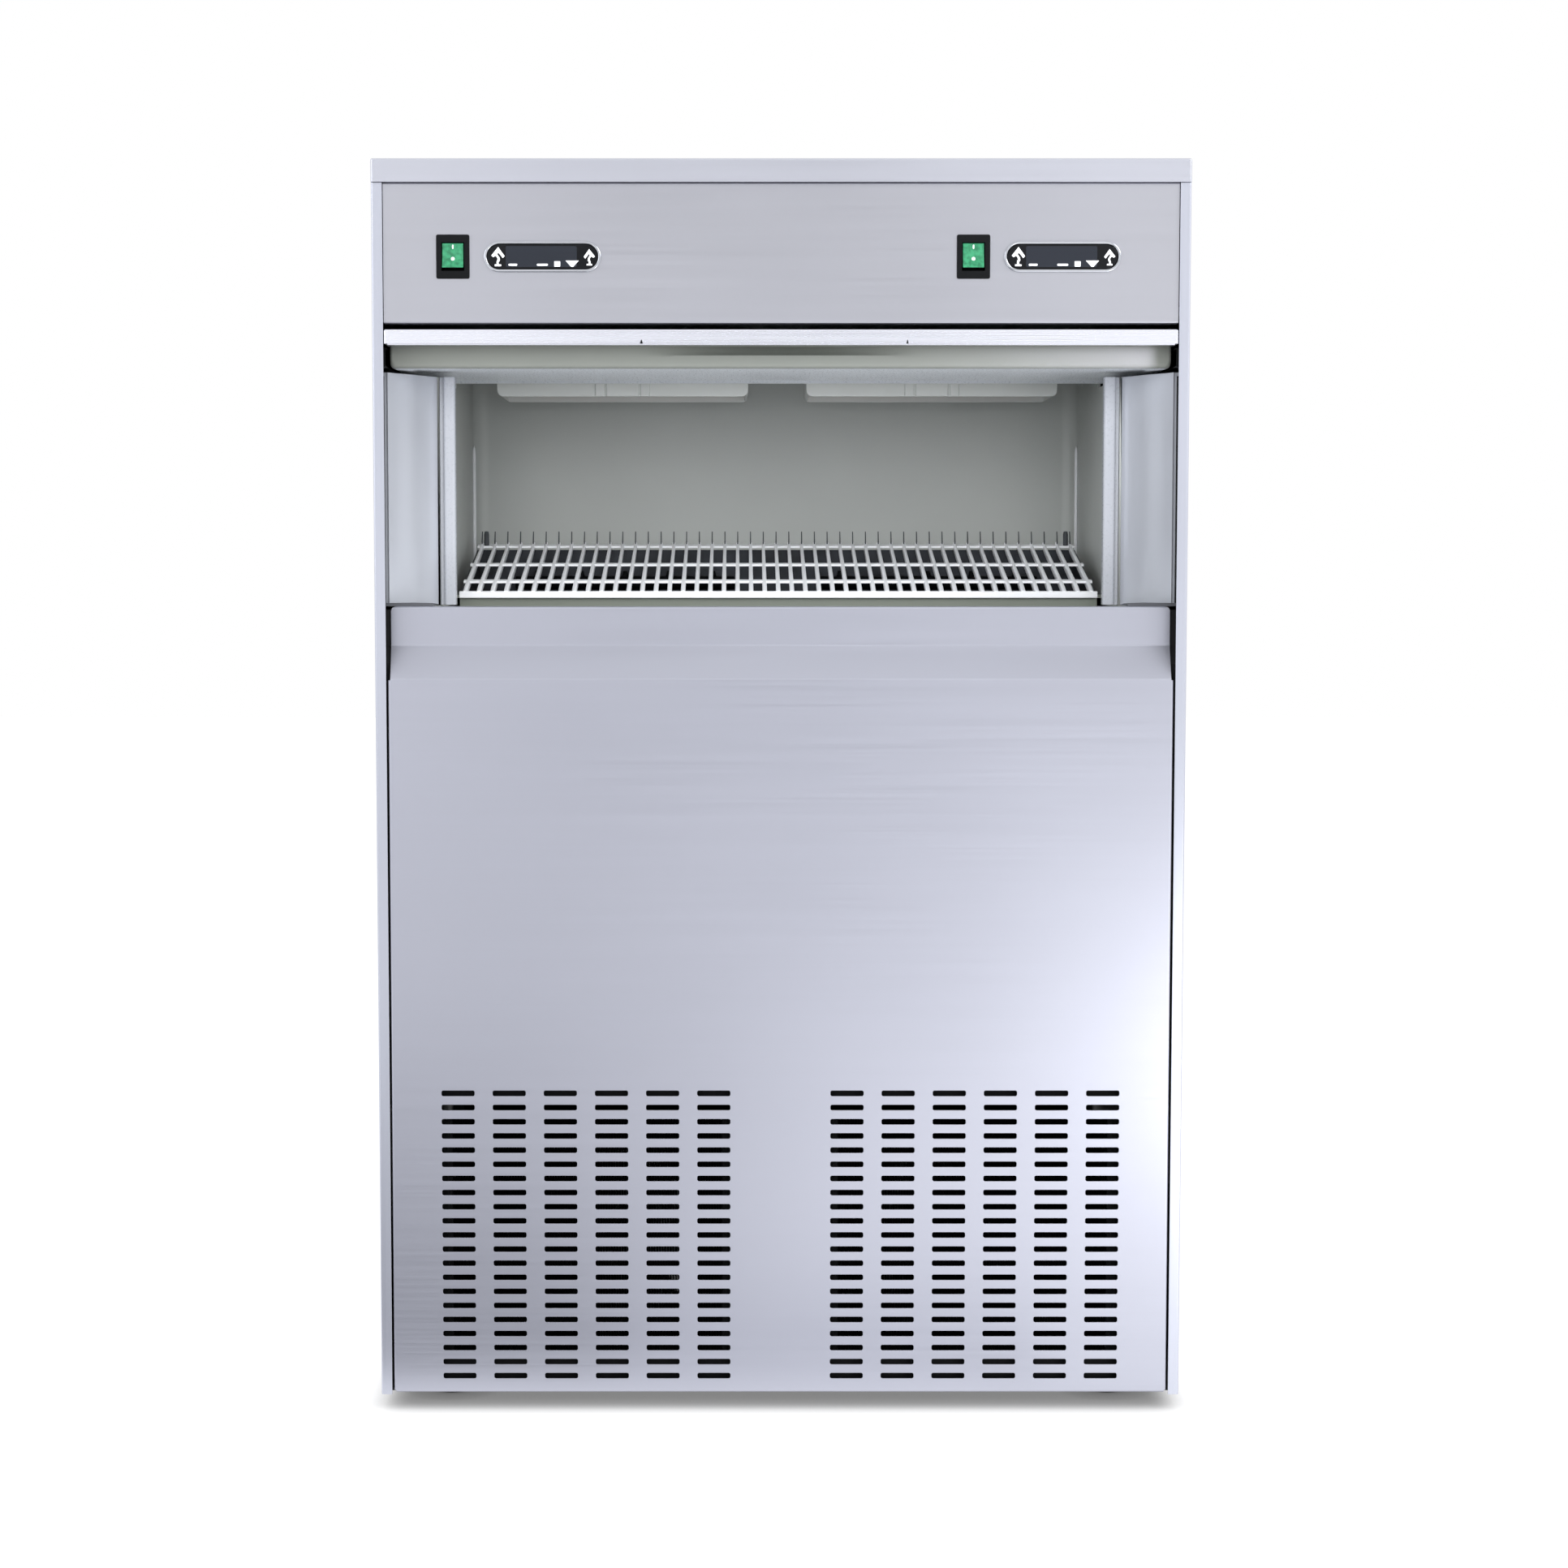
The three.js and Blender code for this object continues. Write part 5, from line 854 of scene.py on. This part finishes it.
for (name, _), x in zip(sides, switch_x):
    housing = stacked([[x - w, x + w, switch_z - h, switch_z + h, corner, y] for w, h, corner, y in housing_rings], "y")
    fitted(piece("switch_body_" + name, housing, ease=0.2), black_plastic, "black", "switch_housing_" + name)
    lens = skin(tilted(x + np.array([[-9.5], [9.5]]), rocker_outline[:, 0], rocker_outline[:, 1]),
                True, cap_first=True, cap_last=True)
    marks = [skin(tilted(x + mark[:, 0], dished(mark[:, 1]) + np.array([[0.3], [-0.15]]), mark[:, 1]),
                  True, cap_first=True, cap_last=True) + (1,) for mark in rocker_marks]
    fitted(piece("rocker_lens_" + name, lens, *marks, ease=0.25), [green_plastic, mark_white],
           "green", "rocker_" + name, body="rocker_" + name)


# Indicator windows. A dark glossy lens in a bright rim, with plain white marks printed on it: an
# arrow at each end, two bars, a square and a triangle over the hidden lamps.
def block(x0, x1, y0, y1, corner, low, high, along="z", steps=4):
    """A rounded rectangle carried straight from one level to another."""
    return stacked([[x0, x1, y0, y1, corner, low], [x0, x1, y0, y1, corner, high]], along, steps)


def flat_mark(points, x, z, y):
    """A printed mark: an outline across and up from a middle, 0.1 mm proud of a level."""
    return carried(np.asarray(points) + np.array([x, z]), y - 0.1, y + 0.2, "y", closed=True) + (1,)


bright_metal = grouped_material("bright_rim", brushed, {
    "Colour": srgb(204, 207, 214), "Grain Scale": (60, 400, 400), "Cloud Amount": 0.03,
    "Low Roughness": 0.12, "High Roughness": 0.2}, metallic=1.0, bump=0.03)
lens_dark = moulded("dark_lens", (14, 15, 18), 0.1, 0.16, 900.0, 0.08, 0.01, Specular_IOR_Level=0.2)
lens_slate = moulded("slate_print", (36, 39, 46), 0.3, 0.4, 900.0, 0.08, 0.01, Specular_IOR_Level=0.15)
rim_turn = np.linspace(0, math.pi, 9)
rim_section = np.concatenate([
    np.stack([1.2 - 1.2 * np.cos(rim_turn), 2.9 - 0.8 * np.sin(rim_turn)], -1), [[2.4, 3.7], [0, 3.7]]])
lens_levels = [[2.9, 11.7], [2.9, 3.3], [3.2, 3.0], [4.2, 2.75]]
def window_ring(x, inset):
    """A window's outline round its middle, with round ends and drawn in by an inset: its two starts and
    ends, and its corner radius."""
    wide, high = display_size[0] / 2 - inset, display_size[1] / 2 - inset
    return [x - wide, x + wide, switch_z - high, switch_z + high, high - 0.01]


arrow = np.array([
    [-2.9, -8.6], [2.9, -8.6], [2.9, -7.0], [0.7, -6.8], [0.6, -5.2], [1.8, -3.2], [1.5, -1.0], [-0.5, 1.9],
    [0.1, 3.7], [2.5, 1.0], [4.3, -1.4], [6.1, 0.4], [0.2, 8.6], [-6.0, 0.8], [-4.2, -0.6], [-2.1, 0.7],
    [-0.8, -0.8], [-0.3, -2.3], [-1.0, -3.8], [-1.3, -5.2], [-1.1, -6.8], [-2.9, -7.0]])
for (name, _), x in zip(sides, display_x):
    rim = np.stack([corner_ring(*window_ring(x, d), 10) for d, _ in rim_section])
    fitted(piece("window_rim_" + name, skin(place(rim[..., 0], rim_section[:, 1:], rim[..., 1]), True, True)),
           bright_metal, "bright", "display_bezel_" + name)
    lens = stacked([[*window_ring(x, d), y] for d, y in lens_levels], "y", 10)
    slate = block(x - 33, x + 31, switch_z - 9.3, switch_z + 9.3, 1.5, 2.9, 2.7, "y") + (2,)
    window_marks = [
        flat_mark(arrow, x - 40.0, switch_z, 2.7),
        flat_mark(arrow * [-0.85, 0.85], x + 42.3, switch_z - 0.6, 2.7),
        flat_mark(corner_ring(-4.0, 4.0, -8.3, -6.4, 0.9), x - 26.6, switch_z, 2.6),
        flat_mark(corner_ring(-5.0, 5.0, -8.3, -6.4, 0.9), x, switch_z, 2.6),
        flat_mark(corner_ring(-2.7, 2.7, -9.0, -4.2, 0.5), x + 13.4, switch_z, 2.6),
        flat_mark([[-6.0, -3.6], [-0.9, -9.2], [0.9, -9.2], [6.0, -3.6]], x + 26.8, switch_z, 2.6)]
    fitted(piece("window_lens_" + name, lens, slate, *window_marks), [lens_dark, mark_white, lens_slate],
           "window", "display_window_" + name)


# Painted highlight. A thin white bead runs up each back corner of the chamber, from behind the comb
# to halfway up the wall, and stands in for the highlight on the corner. It is slightly glossy.
corner_highlight_white = moulded("painted_corner_highlight", (240, 241, 243), 0.3, 0.4, 400.0, 0.03, 0.05)
highlight_bead_profile = [[0, 776], [1.7, 779], [1.7, 898], [1.2, 903], [0, 907]]
for name, side in sides:
    fitted(piece("corner_highlight_bead_" + name, turned(highlight_bead_profile, (side * 318.4, 461.0, 0), sides=12)), corner_highlight_white, "white")


# Comb. The white moulded grid that ice slides down: long tapering ribs over three cross bars, a deep
# front lip, and a row of thin teeth that stand up from its rear edge between two posts. The teeth and
# posts are coloured dark grey as painted shade.
def repeated(shell, shifts):
    """A surface copied once for each shift along x, in millimetres."""
    points, faces = shell
    moved = points[None] + np.stack([shifts, 0 * shifts, 0 * shifts], -1)[:, None] * 0.001
    copies = [[corner + copy * len(points) for corner in face] for copy in range(len(shifts)) for face in faces]
    return moved.reshape(-1, 3), copies


comb_front = 183.0
comb_length = 202.0
comb_half = 309.0
comb_low_z = 757.3
comb_rise = 45.0
rib_x = (np.arange(47) - 23) * 13.2
rib_share = np.linspace(0.012, 1.0, 14)[:, None]
rib_turn = np.linspace(0, math.pi, 6)
rib_across = np.concatenate([[-0.46], -0.5 * np.cos(rib_turn), [0.46]])
rib_drop = np.concatenate([[-6.4], -1.4 + 1.4 * np.sin(rib_turn), [-6.4]])
rib_width = 4.6 - 1.4 * rib_share
rib_end = 2.2 * np.clip((rib_share - 0.9) / 0.1, 0, 1) ** 2
rib_dip = 2.2 * np.clip(1 - rib_share / 0.17, 0, 1) ** 2
rib_z = comb_low_z + comb_rise * rib_share + rib_end - rib_dip
rib = skin(place(rib_across * rib_width, comb_front + comb_length * rib_share, rib_z + rib_drop),
           True, cap_first=True, cap_last=True)
bars = []
for share_from, share_to, sunk in ((0.172, 0.216, 0.25), (0.54, 0.578, 0.35), (0.955, 1.0, 0.3)):
    y0, y1 = comb_front + comb_length * share_from, comb_front + comb_length * share_to
    z0, z1 = comb_low_z + comb_rise * share_from - sunk, comb_low_z + comb_rise * share_to - sunk
    bar = rounded_outline([[y0, z0 - 2.1], [y1, z1 - 2.1], [y1, z1], [y0, z0]], [0.4, 0.4, 0.9, 0.9])
    bars.append(carried(bar, -comb_half + 1, comb_half - 1, "x", closed=True))
lip = rounded_outline([[183, 748.8], [187, 748.8], [187, 752.4], [190.4, 752.8], [190.4, 755.7], [183, 754.9]],
                      [0.8, 0.5, 0.3, 0.3, 0.5, 1.2])
tooth_share = np.linspace(0, 1, 7)[:, None]
tooth = skin(place(np.array([[-0.6, 0.6, 0.6, -0.6]]) * (1.1 - 0.3 * tooth_share),
                   378.4 + 5.0 * tooth_share ** 1.6 + np.array([[0, 0, 1, 1]]) * (3.5 - 1.9 * tooth_share),
                   799.5 + 15.6 * tooth_share), True, cap_first=True, cap_last=True)
post = turned([[0, 800], [2.6, 800], [2.6, 812], [2.0, 815], [0, 815.4]], (0, 380, 0), sides=12)
comb_white = moulded("comb_white", (247, 248, 250), 0.36, 0.48, 700.0, 0.03, 0.04)
# The dark grey of the teeth and posts is painted shade.
tooth_painted_shade = moulded("tooth_painted_shade", (66, 69, 72), 0.5, 0.6, 700.0, 0.05, 0.05)
fitted(piece("ice_comb", repeated(rib, rib_x), *bars, carried(lip, -comb_half, comb_half, "x", closed=True),
             repeated(tooth, rib_x) + (1,), repeated(post, np.array([-299.0, 299.0])) + (1,), ease=0.12),
       [comb_white, tooth_painted_shade], "white", "ice_grid")


# Water tank. A grey moulded trough under the comb, hung on the liner's side supports; from the line
# where its front wall turns in, its inside is coloured dark as painted shade, mottled in tone and roughness.
tank_material, tank_tree, tank_shader = shader_material("tank_plastic", roughness=0.5)
tank_spot = wired(tank_tree, "TexCoord")["Object"]
tank_axes = wired(tank_tree, "SeparateXYZ", {0: tank_spot})
tank_depth = reckoned(tank_tree, "MULTIPLY_ADD", tank_axes["Z"], 12 / 92, tank_axes["Y"])
tank_shade_mask = ranged(tank_tree, tank_depth, -0.0584, -0.0570, 0.0, 1.0)
tank_mottle = wired(tank_tree, "TexNoise", {"Vector": tank_spot, "Scale": 28.0, "Detail": 4.0})["Fac"]
tank_painted_shade = ramp(tank_tree, tank_mottle, 0.3, (40, 42, 47), 0.7, (66, 69, 76))
tank_colour = wired(tank_tree, "Mix", {
    0: tank_shade_mask, 6: srgb(128, 133, 124), 7: tank_painted_shade}, data_type="RGBA")[2]
tank_tree.links.new(tank_colour, tank_shader.inputs["Base Color"])
tank_tree.links.new(ranged(tank_tree, tank_mottle, 0.0, 1.0, 0.4, 0.6), tank_shader.inputs["Roughness"])
softened("water_tank", 0.9, tank_material, "tank")


# Ice-making modules. White housings hang from the ceiling over the comb, each round a copper plate
# of upside-down cups; a pump in the tank feeds a spray bar with five nozzles below each.
def piped(path, radius, sides):
    """A flat path as a pipe: each point goes r cos a across the path in its plane and r sin a out of it.
    Gives the two numbers in the plane, and the one out of it."""
    along = np.gradient(path, axis=0)
    along /= np.linalg.norm(along, axis=1, keepdims=True)
    radius = np.reshape(radius, (-1, 1))
    reach = radius * np.cos(round_turn(sides))
    return (path[:, :1] - along[:, 1:] * reach, path[:, 1:] + along[:, :1] * reach,
            radius * np.sin(round_turn(sides)))


housing_plastic = moulded("housing_plastic", (213, 216, 213), 0.42, 0.55, 600.0, 0.04, 0.06)
copper = grouped_material("tinned_copper", brushed, {
    "Colour": srgb(196, 134, 98), "Grain Scale": (90, 90, 260), "Cloud Scale": 30.0,
    "Cloud Amount": 0.16, "Low Roughness": 0.25, "High Roughness": 0.4}, metallic=1.0, bump=0.05)
module_x = (-154.5, 154.5)
module_y = 345.0
spray_z = 762.6
cup_profile = [[17.4, 956.6], [19, 956.6], [18.6, 972], [17.2, 983.5], [14.5, 986.3], [9, 986.6], [9, 990],
               [0, 990], [0, 985.0], [13.4, 984.8], [15.8, 982.6], [17.0, 972]]
pump_profile = [[0, 690.3], [24, 690.3], [24.7, 691], [24.7, 705.5], [24, 706.3], [12, 707], [12, 752.4],
                [31, 752.4], [31, 755.3], [25, 755.6], [25, 790], [24, 794], [21, 795.3], [0, 795.3]]
outlet_profile = [[0, 398.6], [7, 398.6], [7, 402], [6.2, 402.4], [6.2, 412], [0, 412]]
bar_profile = [[0, -112], [6, -112], [7, -111], [7, 111], [6, 112], [0, 112]]
nozzle_profile = [[0, 765], [4, 765], [4, 769.5], [3.2, 770.5], [2.4, 774.6], [1.2, 774.6], [1.2, 772], [0, 772]]
coil_share = np.linspace(0, 1, 81)
for (name, _), x in zip(sides, module_x):
    softened("evaporator_housing_" + name, 0.8, housing_plastic, "white")
    cups = [turned(cup_profile, (x + 61.1 * (i - 1.5), module_y + 51.7 * (j - 0.5), 0), sides=20)
            for i in range(4) for j in range(2)]
    plate = block(x - 122, x + 122, 293.4, 396.6, 4, 986.8, 990.5)
    coil_y = module_y + 40 * np.tanh(2.6 * np.cos(coil_share * math.pi * 7))
    coil_x, coil_y, coil_out = piped(np.stack([x - 112 + 224 * coil_share, coil_y], -1), 3.4, 10)
    coil = skin(place(coil_x, coil_y, 994.0 + coil_out), True, cap_first=True, cap_last=True)
    fitted(piece("cup_plate_" + name, *cups, plate, coil), copper, "copper", "evaporator_" + name)
    fitted(piece("pump_" + name, turned(pump_profile, (x, 432, 0), sides=40),
                 turned(outlet_profile, (x, 0, spray_z), "y", 20)), black_plastic, "black", "water_pump_" + name)
    feed = turned([[0, module_y], [7, module_y], [7, 398.2], [0, 398.2]], (x, 0, spray_z), "y", 24)
    nozzles = repeated(turned(nozzle_profile, (0, module_y, 0), sides=16), x + 44.8 * (np.arange(5) - 2))
    fitted(piece("spray_" + name, turned(bar_profile, (x, module_y, spray_z), "x", 24), feed, nozzles),
           black_plastic, "black", "spray_bar_" + name)


# Condensing units. Behind the vents on each side stand a finned condenser between two flanged end
# plates, a shroud with its fan and motor, and a compressor on rubber mounts. The condenser and the shroud
# are coloured near black as painted shade behind the vents.
black_paint = moulded("black_enamel", (22, 23, 25), 0.22, 0.34, 300.0, 0.06, 0.05, Specular_IOR_Level=0.35)
fan_grey = moulded("fan_aluminium", (176, 180, 184), 0.35, 0.5, 400.0, 0.06, 0.05, metallic=0.9)
condenser_x = 179.0
compressor_x = 175.0
compressor_y = 380.0
plate_low = 16.6
plate_high = 266.4
tube_radius = 4.5
tube_gap = 14.0
fan_y = 95.3
fan_z = 141.5
blade_half_thick = 0.7
blade_out = np.linspace(0, 1, 9)[:, None]
blade_over = np.linspace(-0.5, 0.5, 9)[None, :]
blade_radius = 18 + 78 * blade_out
blade_half = 0.36 + 0.16 * blade_out - 0.08 * blade_out ** 4
blade_angle = blade_over * 2 * blade_half + 0.16 * blade_out
blade_lift = 13.0 * blade_over * 2 * (1 - 0.35 * blade_out) - 2.5 * (1 - (2 * blade_over) ** 2)
blade_index = np.arange(81).reshape(9, 9)
blade_edge = np.concatenate([
    blade_index[0, :-1], blade_index[:-1, -1], blade_index[-1, :0:-1], blade_index[:0:-1, 0]])
bend_turn = np.linspace(-math.pi / 2, math.pi / 2, 13)[:, None]
bend_reach = tube_gap + tube_radius * np.cos(round_turn(12))
hub_profile = [[4.4, 86.3], [20, 86.3], [22, 88], [22, 103], [20.5, 104.3], [4.4, 104.3], [4.4, 86.3]]
motor_profile = [[0, 86.4], [3.9, 86.4], [3.9, 113], [14, 113.4], [33, 114.6], [36, 117.5], [36, 128],
                 [36.8, 129], [36.8, 131], [36, 132], [36, 158], [34, 161], [30, 162.3], [0, 162.3]]
can_profile = [[0, 32.5], [50, 32.5], [64, 38], [70.5, 48], [72, 58], [72, 107], [75.4, 108.2], [75.4, 110.6],
               [72, 112], [72, 158], [70, 172], [62, 185], [46, 193], [24, 196.6], [0, 197.4]]
mount_profile = [[0, 16.5], [11, 16.5], [11, 22], [8, 24], [11, 26], [11, 30], [8, 36], [0, 36]]
for name, side in sides:
    x = side * condenser_x
    fins = repeated(carried([[-0.15, 37], [0.15, 37], [0.15, 73], [-0.15, 73]], 19.5, 265.5, closed=True),
                    x + np.linspace(-127, 127, 102))
    plates = [block(x + end - half, x + end + half, y0, y1, corner, plate_low, plate_high, steps=2)
              for half, y0, y1, corner in ((1, 30, 74, 0.5), (4.8, 30.2, 31.4, 0.4)) for end in (-130, 130)]
    tubes = [turned([[0, -130], [tube_radius, -130], [tube_radius, 130], [0, 130]], (x, 52, fan_z + dz), "x", 12)
             for dz in (-97.3, -69.3, -tube_gap, tube_gap, 69.3, 97.3)]
    bends = [skin(place(x + 130.5 + bend_reach * np.cos(bend_turn), 52 + tube_radius * np.sin(round_turn(12)),
                        fan_z + dz + bend_reach * np.sin(bend_turn)), True) for dz in (-83.3, 0.0, 83.3)]
    fitted(piece("condenser_coil_" + name, fins, *plates, *tubes, *bends), vent_shade_coat,
           "black_steel", "condenser_" + name)
    softened("fan_shroud_" + name, 0.3, vent_shade_coat, "black_steel", angle=25)

    blades = []
    for turn in round_turn(5):
        back, face = (place(x + blade_radius * np.cos(blade_angle + turn), fan_y + blade_lift + shift,
                            fan_z + blade_radius * np.sin(blade_angle + turn))
                      for shift in (-blade_half_thick, blade_half_thick))
        edges = np.stack([back.reshape(-1, 3)[blade_edge], face.reshape(-1, 3)[blade_edge]])
        blades += [skin(back[::-1]), skin(face), skin(edges, True)]
    fitted(piece("fan_wheel_" + name, turned(hub_profile, (x, 0, fan_z), "y"), *blades),
           fan_grey, "aluminium", "fan_" + name, body="fan_" + name)

    strap = np.concatenate([
        folded([[x - 118, 76.6], [x - 118, 115.8], [x + 118, 115.8], [x + 118, 76.6]], 3),
        folded([[x + 115, 76.6], [x + 115, 112.8], [x - 115, 112.8], [x - 115, 76.6]], 0.5)])
    straps = [carried(strap, fan_z + dz - 5, fan_z + dz + 5, closed=True) for dz in (-22, 22)]
    fitted(piece("motor_" + name, turned(motor_profile, (x, 0, fan_z), "y", 40), *straps, ease=0.3),
           black_paint, "black_steel", "fan_motor_" + name)

    x = side * compressor_x
    foot_plate = block(x - 95, x + 95, 285, 475, 14, 30.5, 34.5, steps=5)
    mounts = [turned(mount_profile, (x + 77 * a, compressor_y + 77 * b, 0), sides=20) + (1,)
              for a in (-1, 1) for b in (-1, 1)]
    fitted(piece("compressor_can_" + name, turned(can_profile, (x, compressor_y, 0), sides=48),
                 foot_plate, *mounts, ease=0.3), [black_paint, rubber], "black_steel", "compressor_" + name)


# Rear fittings. The brass water inlet with its valve coil, the bin's plastic drain pipe and elbow,
# and the empty cord gland with its two nuts, all through the service panel.
def hexagon_nut(x, z, radius, y0, y1):
    """A six-sided nut round a point: corners at r (cos a, sin a), carried straight back."""
    return carried(np.stack([x + radius * np.cos(round_turn(6)), z + radius * np.sin(round_turn(6))], -1),
                   y0, y1, "y", closed=True)


brass = grouped_material("cast_brass", brushed, {
    "Colour": srgb(196, 168, 98), "Grain Scale": (200, 200, 200), "Cloud Scale": 40.0,
    "Cloud Amount": 0.1, "Low Roughness": 0.25, "High Roughness": 0.4}, metallic=1.0, bump=0.08)
thread_start = 671.0
thread_pitch = 1.45
thread_y = np.linspace(thread_start, 682.6, 33)
thread = np.stack([12.6 + 0.4 * np.sin((thread_y - thread_start) / thread_pitch * 2 * math.pi), thread_y], -1)
inlet_profile = np.concatenate([
    [[0, 662], [13, 662], [13, 670.6]], thread, [[12, 683.2], [8, 683.2], [8, 676], [0, 676]]])
fitted(piece("inlet", turned(inlet_profile, (-285, 0, 240), "y"), hexagon_nut(-285, 240, 17, 665.5, 670.5),
             block(-300, -270, 219, 261, 3, 629.7, 663.7, "y") + (1,), ease=0.4),
       [brass, black_plastic], "brass", "water_inlet_valve")

drain_z = 61.0
drain_end = 683.2
drain_bend = 24.0
drain_radius = 12.0
socket_radius = 15.0
drain_plastic = moulded("drain_plastic", (214, 215, 212), 0.4, 0.52, 500.0, 0.04, 0.06)
elbow = np.linspace(0, math.pi / 2, 9)
elbow_line = np.stack([drain_y + drain_bend * (1 - np.cos(elbow)),
                       drain_z + drain_bend * (1 - np.sin(elbow))], -1)
drain_line = np.concatenate([[[drain_y, 326], [drain_y, 92.2], [drain_y, 92]], elbow_line,
                             [[460, drain_z], [460.2, drain_z], [drain_end, drain_z]]])
drain_radii = np.full(len(drain_line), socket_radius)
drain_radii[[0, 1, -2, -1]] = drain_radius
drain_y_points, drain_z_points, drain_x_points = piped(drain_line, drain_radii, 24)
drain_pipe = skin(place(drain_x_points, drain_y_points, drain_z_points), True, cap_first=True)
drain_mouth = turned([[drain_radius, drain_end], [9, drain_end], [9, 600], [0, 600]], (0, 0, drain_z), "y", 24)
fitted(piece("drain", drain_pipe, drain_mouth), drain_plastic, "white", "drain_pipe")

gland_profile = [[4.5, 651], [9, 651], [9, 677], [7.6, 681.2], [4.5, 681.2], [4.5, 651]]
fitted(piece("gland", turned(gland_profile, (300, 0, 75), "y", 28), hexagon_nut(300, 75, 13, 665.5, 671.5),
             hexagon_nut(300, 75, 13, 657.7, 663.7), ease=0.3), black_plastic, "black", "cord_gland")
